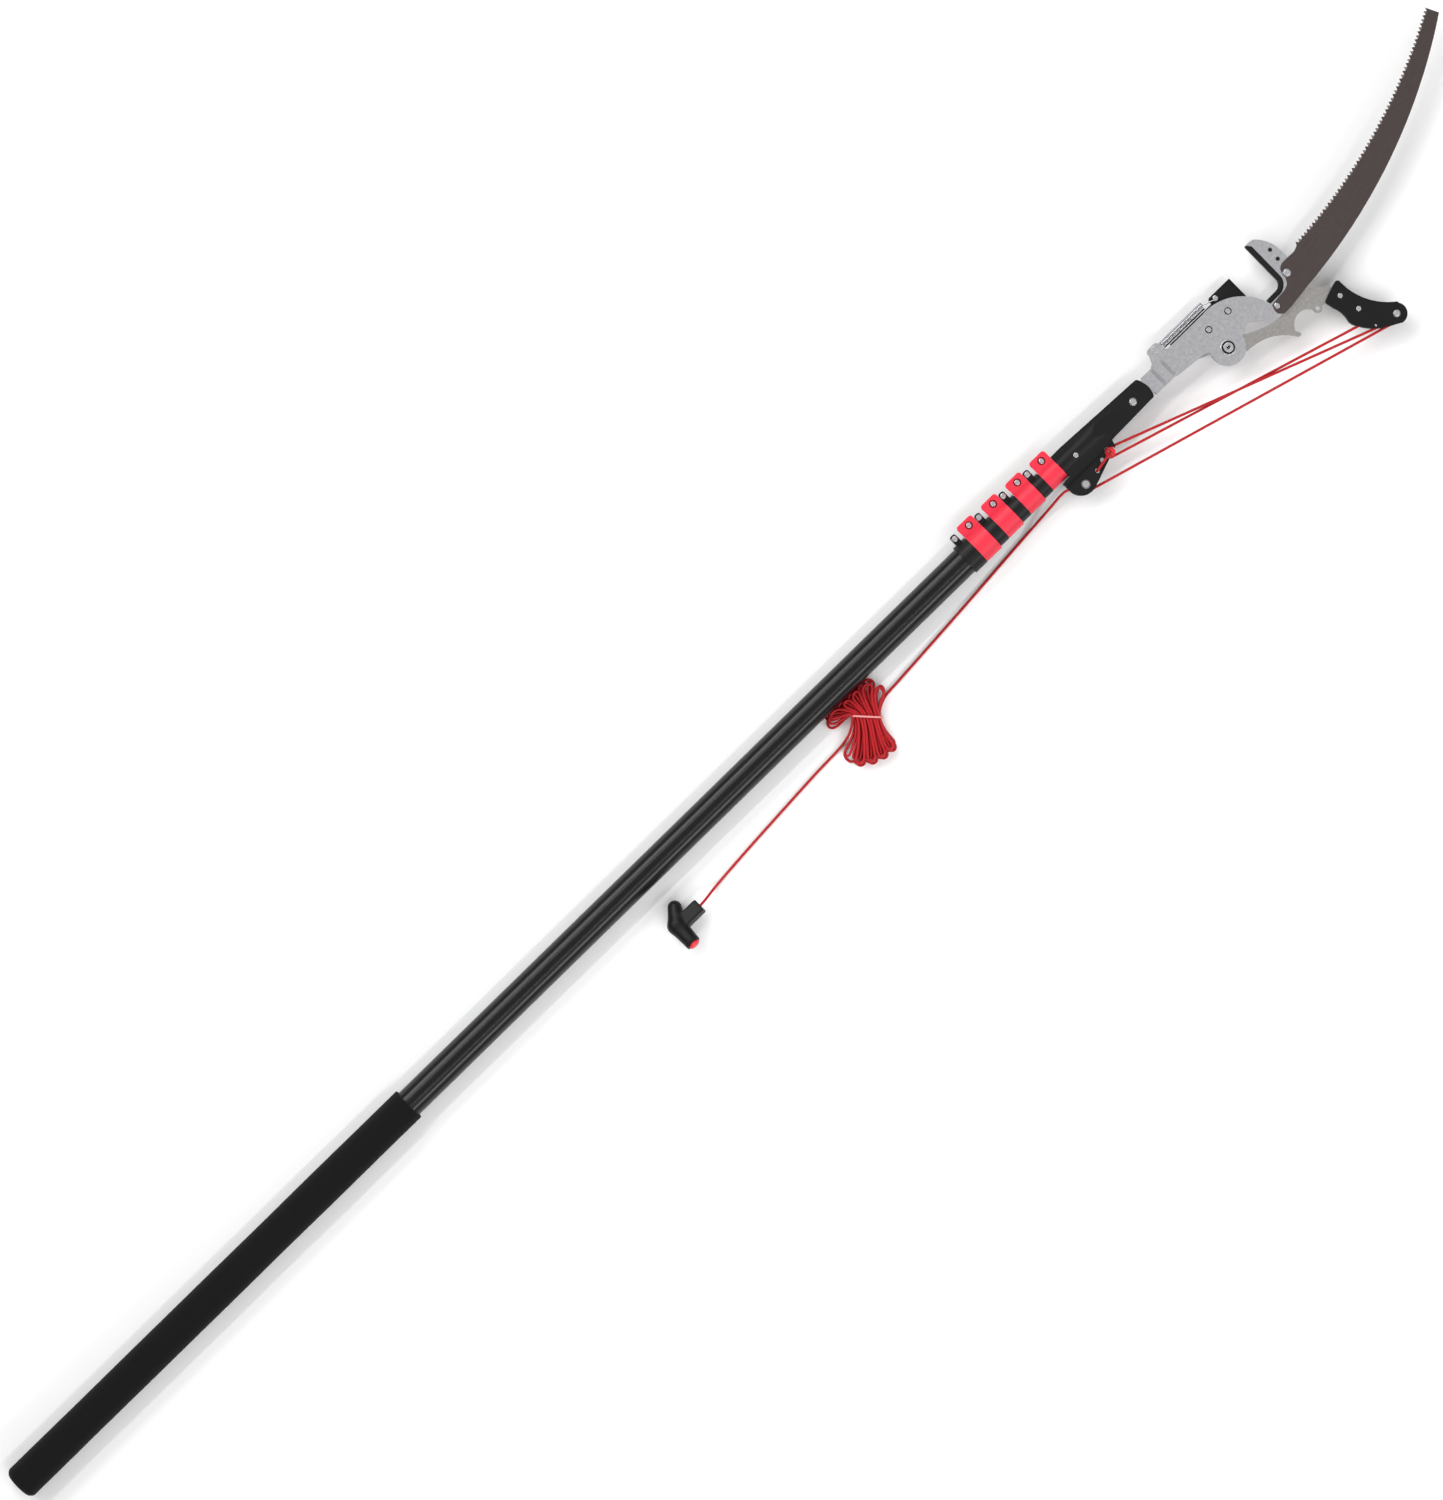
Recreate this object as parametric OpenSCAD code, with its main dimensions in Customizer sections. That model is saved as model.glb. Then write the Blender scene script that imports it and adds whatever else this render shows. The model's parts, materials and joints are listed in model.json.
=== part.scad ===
// Telescoping pole saw with a rope-pulled pruning jaw and a bolted-on curved saw blade.
// It lies flat: +X runs along the pole from the butt to the head, +Z is up, and the
// origin is the centre of the butt end on the pole's axis.

/* [Pole] */
// Outside diameter of the largest tube
tube_od = 33; // [28:0.5:40]
// Wall of every tube
tube_wall = 1.2; // [1:0.1:1.6]
// Radial gap between one tube and the next
tube_gap = 0.5; // [0.4:0.1:1]
// Length of the largest tube up to its lock collar
pole_length = 1460.5; // [1200:1:1800]
// How far the rear end of each inner tube sits ahead of the one around it
tube_step = 40; // [32:1:60]
// Travel of each inner tube
slide_travel = 1150; // [600:10:1150]

/* [Grip] */
// Length of the foam grip
grip_length = 601; // [450:1:760]
// Outside diameter of the foam grip
grip_od = 40; // [37:0.5:50]

/* [Locks] */
// Distance from one lock to the next
lock_pitch = 35.5; // [34:0.5:44]
// Length of the collar ring that grips its own tube
ring_length = 12.5; // [11:0.5:15]
// Wall of the collar ring
ring_wall = 2; // [1.6:0.1:3]
// Reach of the collar's ears from the ring's outside
ear_reach = 12; // [10:0.5:15]
// Thickness of the flip lever's shell
flip_wall = 1.5; // [1.2:0.1:2.2]
// Bolts through the ears
ear_bolt_d = 4; // [3:0.5:5]

/* [Adapter] */
// Length of the two-shell adapter between the last tube and the head
adapter_length = 129; // [120:1:145]
// Half thickness of the adapter where it holds the head's stem
adapter_half = 9.5; // [8.6:0.1:12]
// Half thickness of the cheeks that carry the rope sheave
cheek_half = 6.5; // [5.5:0.1:8]
// Half width of the slot between the cheeks
cheek_slot = 3.4; // [3:0.1:3.8]

/* [Head] */
// Thickness of each head plate
plate_t = 2.2; // [1.5:0.1:3]
// Thickness of the sliding cutter
cutter_t = 3; // [2.5:0.1:3.4]
// Thickness of the pull lever
lever_t = 4; // [3.6:0.1:5]
// Running gap between the stacked plates
stack_gap = 0.4; // [0.3:0.05:0.6]
// Opening of the jaw along the pole
jaw_opening = 35.5; // [28:0.5:38]
// Distance from the lever's pivot to its drive pin
drive_radius = 42; // [40:0.5:42.5]
// Diameter of the lever's pivot bolt
pivot_d = 10; // [8:0.5:11]

/* [Saw] */
// Thickness of the saw blade
saw_t = 1.4; // [1:0.1:2]
// Number of teeth
saw_teeth = 64; // [50:1:70]
// Depth of a tooth
tooth_depth = 3.4; // [2:0.1:4]

/* [Rope] */
// Diameter of the pull rope
rope_d = 3; // [2.5:0.1:3.2]

/* [Hidden] */

$fn = 48;
eps = 0.01;
fit = 0.05;              // bolts, plugs and rings that are held still
run = 0.1;               // pieces that slide or turn in each other
grip_r = grip_od / 2;
floor_z = -grip_r;       // the surface that the tool lies on
rope_r = rope_d / 2;
lay_z = floor_z + rope_r;

// Tubes, counted from the outside in.
tube_drop = tube_wall + tube_gap;
function tube_r(k) = tube_od / 2 - (k - 1) * tube_drop;
function tube_rear(k) = k == 1 ? 5 : 20 + (k - 1) * tube_step;
function lock_x(k) = pole_length + (k - 1) * lock_pitch;
nose_length = lock_pitch - ring_length - 1;
tube_seat = ring_length - 2;
adapter_x = lock_x(4) + lock_pitch + 0.3;
tube_5_end = adapter_x + 46;
function tube_front(k) = k == 5 ? tube_5_end : lock_x(k) + tube_seat;

// The head's own datum is the adapter's mouth.
head_x = adapter_x + adapter_length;

// Heights of the head's stacked plates.
cutter_z = -stack_gap - cutter_t;
bottom_z = cutter_z - stack_gap - plate_t;
top_z = lever_t + stack_gap;
skin_z = top_z + plate_t;
rope_z = lever_t / 2;

// Lever and cutter: the drive pin swings as far before its middle as after it.
pivot = [95, -35];
anvil_x = 185;
edge_gap = 0.5;
stroke = jaw_opening - edge_gap;
half_throw = asin(stroke / (2 * drive_radius));
pin_r = 2.6;
pin_at = pivot + drive_radius * [-sin(half_throw), cos(half_throw)];
guide_y = -6;
guides = [[122.7, guide_y], [93.3, guide_y]];
guide_r = 2.5;
slot_r = guide_r + 0.2;
guide_orbit = norm(guides[1] - pivot);

// Spring between its screw on the top plate's tab and the post on the cutter.
spring_y = 17.6;
spring_x = [45, 107.5];
spring_od = 9.6;
wire_d = 1.4;
screw_at = [36, 19.5];
post_at = [123, 13.6];

// Rope tackle.
low_sheave = [-122, -33];
low_pitch = 8;
end_sheave_at = [253.3, -137.5];
end_pitch = 7.4;
ring_at = [-78.2, -26.8];
ring_pitch = 5.2;
ring_half = 3.9;
ring_lift = 1.8;         // the rope climbs from below this height to above it round the ring
dead_end = [228, -134];
tie_holes = [[-90.3, -26.7], [-102.3, -31.4]];

// Route of the free rope, from the lower sheave to the hank and on to the handle.
function low_point(a) = [head_x, 0, 0] + concat(low_sheave + low_pitch * [cos(a), sin(a)], 0);
upper_route = concat([low_point(218)], [for (p = [
    [-134, -30.5, 0], [-138.5, -25, -1], [-144, -22.8, -3], [-152, -22.8, -6], [-164, -24, -10.5],
    [-182, -25.6, -14.6], [-207, -27.6, -17.6], [-222, -28.8, -18.3]]) p + [head_x, 0, 0]],
    [for (p = [[-240, -30.2], [-302, -35.3], [-404, -42.9], [-437, -45]])
        [head_x + p.x, p.y, lay_z]]);
lower_route = [for (p = [[-503, -50.6, lay_z], [-580, -54.8, lay_z], [-660, -60, lay_z],
    [-704, -63.4, lay_z], [-714, -64.3, lay_z + 0.2], [-724, -65.3, -16.6], [-733, -66.4, -12.4],
    [-740, -67.4, -8.4], [-746, -67.9, -6.1], [-752, -68, -5.6]])
        p + [head_x, 0, 0]];
handle_at = [head_x - 782, -68, -5.6];
handle_roll = -20;

// Circle through three points, from a through b to c, as n chords.
function arc3(a, b, c, n = 12) =
    let (d = 2 * (a.x * (b.y - c.y) + b.x * (c.y - a.y) + c.x * (a.y - b.y)),
         aa = a * a, bb = b * b, cc = c * c,
         u = [(aa * (b.y - c.y) + bb * (c.y - a.y) + cc * (a.y - b.y)) / d,
              (aa * (c.x - b.x) + bb * (a.x - c.x) + cc * (b.x - a.x)) / d],
         r = norm(a - u), a0 = atan2(a.y - u.y, a.x - u.x), a1 = atan2(c.y - u.y, c.x - u.x),
         turn = cross(b - a, c - b) > 0 ? (a1 - a0 + 720) % 360 : -((a0 - a1 + 720) % 360))
    [for (i = [0:n]) u + r * [cos(a0 + turn * i / n), sin(a0 + turn * i / n)]];

// Circle about a centre, from one angle to another, as n chords.
function arc(c, r, a0, a1, n = 12) =
    [for (i = [0:n]) c + r * [cos(a0 + (a1 - a0) * i / n), sin(a0 + (a1 - a0) * i / n)]];

// Smooth curve through chosen points, with k chords between each pair.
function smooth(p, k) = [for (i = [0:len(p) - 2], j = [0:k - 1])
    let (a = p[max(i - 1, 0)], b = p[i], c = p[i + 1], d = p[min(i + 2, len(p) - 1)], t = j / k)
    b + 0.5 * t * ((c - a) + t * ((2 * a - 5 * b + 4 * c - d) + t * (3 * b - a - 3 * c + d))),
    p[len(p) - 1]];

function unit(v) = v / norm(v);

// Round tube of n sides along a path of points.
module sweep(path, r, n = 8) {
    count = len(path);
    ring = [for (i = [0:count - 1])
        let (t = unit(path[min(i + 1, count - 1)] - path[max(i - 1, 0)]),
             side = unit(cross(abs(t.z) > 0.9 ? [1, 0, 0] : [0, 0, 1], t)),
             up = cross(t, side))
        for (j = [0:n - 1]) path[i] + r * (side * cos(j * 360 / n) + up * sin(j * 360 / n))];
    polyhedron(ring, concat(
        [[for (j = [n - 1:-1:0]) j]],
        [for (i = [0:count - 2], j = [0:n - 1])
            [i * n + j, i * n + (j + 1) % n, (i + 1) * n + (j + 1) % n, (i + 1) * n + j]],
        [[for (j = [0:n - 1]) (count - 1) * n + j]]));
}

module along_x(x0, length, r) {
    translate([x0, 0, 0]) rotate([0, 90, 0]) cylinder(h = length, r = r);
}

module rod(a, b, r) {
    d = b - a;
    translate(a) rotate([0, acos(d.z / norm(d)), atan2(d.y, d.x)]) cylinder(h = norm(d), r = r);
}

module upright(at, z0, z1, r) {
    translate([at.x, at.y, z0]) cylinder(h = z1 - z0, r = r);
}

module at_head() translate([head_x, 0, 0]) children();

module slab(outline, z0, z1) translate([0, 0, z0]) linear_extrude(z1 - z0) polygon(outline);

// Bolt with a domed head above a surface and a hexagon nut below one.
module bolt(at, under, over, r, head_r, head_h = 1.8, nut_h = 3) {
    upright(at, under - nut_h, over + eps, r);
    translate([at.x, at.y, over]) {
        cylinder(h = head_h * 0.45, r = head_r);
        translate([0, 0, head_h * 0.45]) cylinder(h = head_h * 0.55, r1 = head_r, r2 = head_r * 0.72);
    }
    translate([at.x, at.y, under - nut_h * 0.8]) cylinder(h = nut_h * 0.8, r = head_r * 1.02, $fn = 6);
}

// ---- Pole ----

module tube(k) color([0.08, 0.08, 0.09]) difference() {
    along_x(tube_rear(k), tube_front(k) - tube_rear(k), tube_r(k));
    along_x(tube_rear(k) - 1, tube_front(k) - tube_rear(k) + 2, tube_r(k) - tube_wall);
    if (k == 5) translate([head_x, 0, 0]) upright(tube_pin_at, -20, 20, 2 + fit);
}

module grip() color([0.05, 0.05, 0.05]) rotate([0, 90, 0]) rotate_extrude($fn = 72)
    polygon(concat([[tube_r(1) + fit, grip_length], [tube_r(1) + fit, 1]],
        arc([grip_r - 6, 6.6], 6, -60, 0, 6),
        arc([grip_r - 1.5, grip_length - 1.5], 1.5, 0, 90, 4)));

module butt_plug() color([0.04, 0.04, 0.04]) rotate([0, 90, 0]) rotate_extrude($fn = 72)
    polygon(concat([[0, 24], [0, 0]], arc([tube_r(1) - 3, 3], 3, -90, 0, 6),
        [[tube_r(1), 5], [tube_r(1) - tube_wall - fit, 5], [tube_r(1) - tube_wall - fit, 24]]));

// Plug in the rear end of an inner tube, with a flange that runs in the tube around it.
module slide_plug(k) color([0.12, 0.12, 0.13]) difference() {
    union() {
        along_x(tube_rear(k) - 8, 8, tube_r(k - 1) - tube_wall - run);
        along_x(tube_rear(k) - eps, 18, tube_r(k) - tube_wall - fit);
    }
    along_x(tube_rear(k) - 9, 30, tube_r(k) - tube_wall - 3);
}

// ---- Locks ----

ear_z = 6;
flip_x0 = ring_length + 0.3;
flip_length = nose_length + 0.4;
nose_wall = 1.7;
ear_w = 9;
hinge_r = 1.5;
knuckle_r = 3.2;
function ring_r(k) = tube_r(k) + ring_wall;
function nose_r(k) = tube_r(k + 1) + run + nose_wall;
function flip_r(k) = nose_r(k) + 0.3;
function ear_end(k) = ring_r(k) + ear_reach;
function hinge_at(k) = [ear_end(k) - 1.6, 3];
function screw_y(k) = ring_r(k) + ear_reach / 2;
function ear_mid(k) = flip_x0 + flip_length / 2 + 1.5;
ring_ear = [0.3, 8];
ring_bolt_x = (ring_ear[0] + ring_ear[1]) / 2 - 0.2;

// Split collar: a ring clamped on its own tube, and a nose that grips the next one.
module collar(k) color([0.07, 0.07, 0.08]) translate([lock_x(k), 0, 0]) difference() {
    union() {
        along_x(k == 1 ? -4.5 : 0, ring_length + (k == 1 ? 4.5 : 0), ring_r(k));
        along_x(ring_length - eps, nose_length + eps, nose_r(k));
        translate([ring_ear[0], 0, -ear_z - 1])
            cube([ring_ear[1] - ring_ear[0], ear_end(k) - 1, 2 * ear_z + 2]);
        translate([ear_mid(k) - ear_w / 2, 0, -ear_z]) {
            cube([ear_w, hinge_at(k).x - 0.4, 2 * ear_z]);
            translate([0, hinge_at(k).x, hinge_at(k).y + ear_z]) rotate([0, 90, 0])
                cylinder(h = ear_w, r = knuckle_r - 0.3);
        }
    }
    along_x(-5, tube_seat + 5, tube_r(k) + fit);
    along_x(0, lock_pitch, tube_r(k + 1) + run);
    translate([-5, 0, -0.6]) cube([lock_pitch + 6, ear_end(k) + 2, 1.2]);
    upright([ring_bolt_x, screw_y(k)], -12, 12, ear_bolt_d / 2 + fit);
    for (i = [0, 1]) corner_cut([ring_ear[i], ear_end(k) - 1], 1 - 2 * i, 2.8);
    upright([ear_mid(k), screw_y(k)], -12, 12, ear_bolt_d / 2 + fit);
    translate([ear_mid(k) - ear_w, hinge_at(k).x, hinge_at(k).y]) rotate([0, 90, 0])
        cylinder(h = 2 * ear_w, r = hinge_r + fit);
}

// Flip lever: a shell over the top of the nose, hinged on the ear's outer edge.
module flip_lever(k) color([0.85, 0.12, 0.2]) translate([lock_x(k) + flip_x0, 0, 0]) difference() {
    union() {
        rotate([90, 0, 90]) linear_extrude(flip_length) polygon(concat(
            arc([0, 0], flip_r(k) + flip_wall, 184, plate_angle(k), 24),
            [[flip_edge(k), ear_z + 0.4 + flip_wall], [flip_edge(k), ear_z + 0.4]],
            arc([0, 0], flip_r(k), inner_angle(k), 184, 24)));
        for (x = [0, flip_length - knuckle_w(k)]) translate([x, hinge_at(k).x, hinge_at(k).y])
            rotate([90, 0, 90]) linear_extrude(knuckle_w(k)) union() {
                circle(knuckle_r);
                translate([-knuckle_r - 2, 0]) square([knuckle_r + 2, ear_z + 0.4 - hinge_at(k).y + flip_wall]);
            }
    }
    translate([-1, hinge_at(k).x, hinge_at(k).y]) rotate([0, 90, 0])
        cylinder(h = flip_length + 2, r = hinge_r + fit);
    upright([ear_mid(k) - flip_x0, screw_y(k)], 0, ear_z + 6, 4.4);
    corner_cut([0, flip_edge(k)], 1, flip_corner);
    corner_cut([flip_length, flip_edge(k)], -1, flip_corner);
}

// What is cut off an upright corner at the far edge of an ear or lever to leave it round.
module corner_cut(at, side, r) translate([at.x, at.y, -12]) mirror([side < 0 ? 1 : 0, 0, 0])
    linear_extrude(24) polygon(concat([[-1, 1]], [[r, 1]], arc([r, -r], r, 90, 180, 8), [[-1, -r]]));

function flip_edge(k) = hinge_at(k).x + knuckle_r;
flip_corner = 3.5;

// Angles at which the lever's shell runs out into its flat hinge plate.
function plate_angle(k) = asin((ear_z + 0.4 + flip_wall) / (flip_r(k) + flip_wall));
function inner_angle(k) = asin((ear_z + 0.4) / flip_r(k));
function knuckle_w(k) = (flip_length - ear_w) / 2 - 0.3 - 1.5;

// Hinge pin, ring screw and tension screw of one lock, with their nuts.
module lock_hardware(k) color([0.8, 0.8, 0.82]) translate([lock_x(k), 0, 0]) {
    translate([flip_x0 + 0.3, hinge_at(k).x, hinge_at(k).y]) rotate([0, 90, 0])
        cylinder(h = flip_length - 0.6, r = hinge_r);
    bolt([ring_bolt_x, screw_y(k)], -ear_z - 1, ear_z + 1, ear_bolt_d / 2, 3.7, 1.8, 2.6);
    bolt([ear_mid(k), screw_y(k)], -ear_z, ear_z, ear_bolt_d / 2, 3.6, 1.6, 2.6);
}

// ---- Adapter ----

ax = -adapter_length;
adapter_outline = concat(
    [[ax, 15.3], [ax + 14, 15.6]], arc3([-6, 10.9], [-3, 10.4], [-1.2, 8.6], 3),
    arc3([0.9, 2], [2, -4.6], [0.7, -12], 4), arc3([-0.2, -14.6], [-1.6, -16.2], [-4.6, -16.6], 3),
    [[-67.5, -18.3], [-69.4, -26]],
    arc3([-115.7, -42.5], [-131, -41.2], [-138.6, -32], 8),
    [[-139.6, -28], [-139.6, -16.4], [-138.4, -15.2], [ax, -14.6]]);
cheek_cut = [[ax - 12, -21], [-66, -21], [-66, -46], [ax - 12, -46]];
stem_y = [-17, 8];
tongue_y = [-13.6, 6.4];
stem_rear = -72;
clamp_at = [-22, -4.5];
tube_pin_at = [ax + 21, -2.4];

// Upper half of the adapter, before it is mirrored for the lower one.
module adapter_half_shell(up) {
    difference() {
        union() {
            intersection() {
                slab(adapter_outline, 0, adapter_half);
                translate([ax - 20, -19.6, 0]) cube([adapter_length + 30, 50, 40]);
            }
            slab(adapter_outline, 0, cheek_half);
            hull() {
                translate([ax, 0, 0]) half_round(12.8, 50);
                translate([ax + 50, -9, 0]) cube([14, 18, adapter_half - 0.5]);
            }
        }
        along_x(ax - 1, tube_5_end - adapter_x + 2, tube_r(5) + fit);
        translate([stem_rear - 0.3, tongue_y[0] - 0.1, -1])
            cube([-stem_rear + 10, tongue_y[1] - tongue_y[0] + 0.2, (up ? skin_z : -bottom_z) + 1.05]);
        slab(cheek_cut, -1, cheek_slot);
        upright(ring_at, -1, 20, 7.2);
        for (p = tie_holes) upright(p, -1, 20, 2.7);
        upright(low_sheave, -1, 20, 3 + fit);
        upright(clamp_at, -1, 20, 2.5 + fit);
        upright(tube_pin_at, -1, 20, 2 + fit);
    }
}

module half_round(r, length) intersection() {
    along_x(0, length, r, $fn = 32);
    translate([-1, -r, 0]) cube([length + 2, 2 * r, r]);
}

module adapter_top_shell() color([0.08, 0.08, 0.09]) at_head() adapter_half_shell(true);

module adapter_bottom_shell() color([0.08, 0.08, 0.09]) at_head()
    mirror([0, 0, 1]) adapter_half_shell(false);

module adapter_fasteners() color([0.8, 0.8, 0.82]) at_head() {
    bolt(clamp_at, -adapter_half, adapter_half, 2.5, 4.6, 2.2, 3.4);
    upright(tube_pin_at, -13.4, 13.4, 2);
    upright(tube_pin_at, 12.85, 13.6, 2.8);
    upright(tube_pin_at, -13.6, -12.85, 2.8);
}

module sheave(at, z, pitch, bore, t) translate([at.x, at.y, z]) rotate_extrude($fn = 48)
    polygon(concat([[bore, -t / 2], [pitch + 0.3, -t / 2], [pitch + 0.3, -rope_r - 0.24]],
        arc([pitch + 0.1, 0], rope_r + 0.15, 250, 110, 8),
        [[pitch + 0.3, rope_r + 0.24], [pitch + 0.3, t / 2], [bore, t / 2]]));

module lower_sheave() color([0.75, 0.75, 0.78]) at_head()
    sheave(low_sheave, 0, low_pitch, 3 + run, 2 * cheek_slot - 0.6);

module sheave_axle() color([0.8, 0.8, 0.82]) at_head()
    bolt(low_sheave, -cheek_half, cheek_half, 3, 5.2, 2.2, 3.2);

// Loose ring that turns the rope back; the lashing holds it to the cheeks.
module turning_ring() color([0.8, 0.1, 0.1]) at_head() translate([ring_at.x, ring_at.y, 0])
    rotate_extrude($fn = 48) polygon([[rope_r + 0.4, -ring_half], [ring_pitch + 0.6, -ring_half],
        [ring_pitch - rope_r - 0.1, -ring_lift - 0.6], [ring_pitch - rope_r - 0.1, ring_lift + 0.6],
        [ring_pitch + 0.6, ring_half], [rope_r + 0.4, ring_half]]);

// ---- Head ----

shoulder_x = 2.8;
function stem_side(i) = i == 0
    ? [[stem_rear, tongue_y[0]], [shoulder_x, tongue_y[0]], [shoulder_x, stem_y[0]]]
    : [[shoulder_x, stem_y[1]], [shoulder_x, tongue_y[1]], [stem_rear, tongue_y[1]]];
plate_inner_r = 15;
throat = [anvil_x - 9, -18];
plate_outline = concat(stem_side(0),
    [[30, stem_y[0]], [35, -18.7], [72, -21.8]],
    arc3([74.6, -23.4], [76, -26], [75.4, -30.5], 4),
    arc(pivot, 20, 190, 355, 20),
    [[119, -34.6]], arc3([121.8, -33.6], [129, -31.2], [136, -35], 6),
    arc3([145, -41.5], [158, -46.6], [171, -46.4], 5),
    arc3([190, -36], [204, -24], [anvil_x + 26, -8.4], 5),
    arc3([anvil_x + 26, 0], [anvil_x + 22, 18], [anvil_x + 12.5, 30.8], 8),
    [[anvil_x + 8, 32], [anvil_x + 1.2, 32], [anvil_x + 6, 27]],
    arc(throat, plate_inner_r, 0, -90, 8),
    [[162, -33.2]], arc3([160.2, -28.5], [143.5, -3.7], [104, 11], 16),
    [[100, 10.6], [46, 10.6], [44.6, 12]], arc3([44, 20], [41, 24.4], [35, 25], 4),
    arc3([31, 25], [27.6, 23.4], [27, 19], 4),
    [[23, 10.8], [18, stem_y[1]]], stem_side(1));

saw_bolts = [[198.4, -21.3], [165.5, -39.7]];
saw_bolt_r = [3, 2.2];
saw_head_r = [5, 3.6];
rivets_at = [[202.8, 9.7], [202, -3.2]];

module head_plate(z) difference() {
    slab(plate_outline, z, z + plate_t);
    upright(clamp_at, z - 1, z + plate_t + 1, 2.5 + fit);
    for (p = guides) upright(p, z - 1, z + plate_t + 1, 1.6 + fit);
    upright(pivot, z - 1, z + plate_t + 1, pivot_d / 2 + fit);
    for (i = [0, 1]) upright(saw_bolts[i], z - 1, z + plate_t + 1, saw_bolt_r[i] + fit);
    for (p = rivets_at) upright(p, z - 1, z + plate_t + 1, 1.5 + fit);
    upright(screw_at, z - 1, z + plate_t + 1, 1.8 + fit);
}

module top_plate() color([0.75, 0.75, 0.78]) at_head() {
    head_plate(top_z);
    for (x = [17.6, 31.9]) translate([x - 1.4, stem_y[0] + 1.5, skin_z - eps])
        rotate([-90, 0, 0]) intersection() {
            scale([1.4, 1.4, 1]) translate([1, 0, 0]) cylinder(h = stem_y[1] - stem_y[0] - 3, r = 1, $fn = 24);
            translate([-1, -1.2, 0]) cube([6, 1.2 + eps, 40]);
        }
}

module bottom_plate() color([0.7, 0.7, 0.73]) at_head() head_plate(bottom_z);

// Cast filler that keeps the plates apart in the stem.
module stem_core() color([0.6, 0.6, 0.62]) at_head() difference() {
    slab(concat(stem_side(0), [[30, stem_y[0]], [34, -18], [44, -18.6], [44, 9.4], [24, 9.4],
        [18, stem_y[1]]], stem_side(1)), bottom_z + plate_t, top_z);
    upright(clamp_at, -10, 10, 2.5 + fit);
}

// Each guide bolt is a screw in a sleeve that the cutter's slot runs along.
module guide_bolts() color([0.75, 0.75, 0.77]) at_head() for (p = guides) {
    upright(p, bottom_z + plate_t, top_z, guide_r);
    upright(p, bottom_z - 1.2, skin_z, 1.6);
    upright(p, skin_z, skin_z + 1, 2.9);
    upright(p, bottom_z - 1.2, bottom_z, 2.9);
}

module pivot_bolt() color([0.8, 0.8, 0.82]) at_head() difference() {
    union() {
        upright(pivot, bottom_z - 4.5, skin_z + 1.3, pivot_d / 2);
        upright(pivot, skin_z, skin_z + 1.3, 8.5);
        upright(pivot, skin_z + 1.2, skin_z + 4.6, 5.5);
        translate([pivot.x, pivot.y, bottom_z - 4.5]) cylinder(h = 4.5, r = 8, $fn = 6);
    }
    translate([pivot.x, pivot.y, skin_z + 2.2]) cylinder(h = 4, r = 2.7, $fn = 6);
}

// Black anvil strip between the plates; the cutter closes on its face.
module anvil() color([0.06, 0.06, 0.06]) at_head() difference() {
    slab(concat([[anvil_x + 0.4, 31.6], [anvil_x, 30.6]], arc(throat, 9, 0, -90, 8), [[161.5, -27.4],
        [161.5, -36.5]], arc(throat, 19, -90, 0, 8), [[anvil_x + 10, 26], [anvil_x + 6, 31.6]]),
        bottom_z + plate_t, top_z);
    for (p = saw_bolts) upright(p, -10, 10, 3.4);
}

module anvil_rivets() color([0.3, 0.3, 0.3]) at_head() for (p = rivets_at) {
    upright(p, bottom_z - 0.8, skin_z + eps, 1.5);
    upright(p, skin_z, skin_z + 0.8, 2.3);
    upright(p, bottom_z - 0.8, bottom_z, 2.3);
    upright(p, bottom_z + plate_t, top_z, 2.3);
}

// Sliding cutter with a long guide slot and a cross slot for the drive pin.
cutter_edge = anvil_x - jaw_opening;
tail_top = 12.2;
module cutter() color([0.05, 0.05, 0.06]) at_head() difference() {
    slab([[52, -12], [53, -12.8], [cutter_edge, -12.8], [cutter_edge, 18.7], [118, 18.7], [115.6, 16.4],
        [115.6, tail_top], [52, tail_top]], cutter_z, -stack_gap);
    translate([guides[1].x - stroke, guide_y - slot_r, cutter_z - 1])
        cube([guides[0].x - guides[1].x + stroke, 2 * slot_r, cutter_t + 2]);
    upright([guides[1].x - stroke, guide_y], cutter_z - 1, 1, slot_r);
    upright(guides[0], cutter_z - 1, 1, slot_r);
    translate([pin_at.x - pin_r - 0.5, pin_at.y - pin_r - 0.6, cutter_z - 1])
        cube([2 * pin_r + 1, pivot.y + drive_radius - pin_at.y + 2 * pin_r + 1.1, cutter_t + 2]);
    upright(post_at, cutter_z - 1, 1, 1.8 + fit);
    translate([cutter_edge, 30, -stack_gap]) rotate([90, 0, 0]) linear_extrude(60)
        polygon([[-5.5, 0], [0, 0.6 - cutter_t], [1, 0.6 - cutter_t], [1, 1], [-5.5, 1]]);
}

module spring_post() color([0.8, 0.8, 0.82]) at_head() {
    upright(post_at, cutter_z, 2.6, 1.8);
    upright(post_at, 2.4, 3.4, 2.8);
}

// Closed coil; the last turn at each end crosses it and runs out to an eye.
module spring_end(x, eye, z) {
    translate([x, spring_y + spring_od / 2 - 0.7, 0]) rotate([90, 0, 0])
        cylinder(h = spring_od - 1.4, r = wire_d / 2);
    rod([x, spring_y, 0], [eye.x + (x > eye.x ? 2.6 : -2.6), eye.y, z], wire_d / 2);
    translate([eye.x, eye.y, z - wire_d / 2]) difference() {
        cylinder(h = wire_d, r = 3.4);
        translate([0, 0, -1]) cylinder(h = wire_d + 2, r = 2.1);
    }
}

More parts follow.
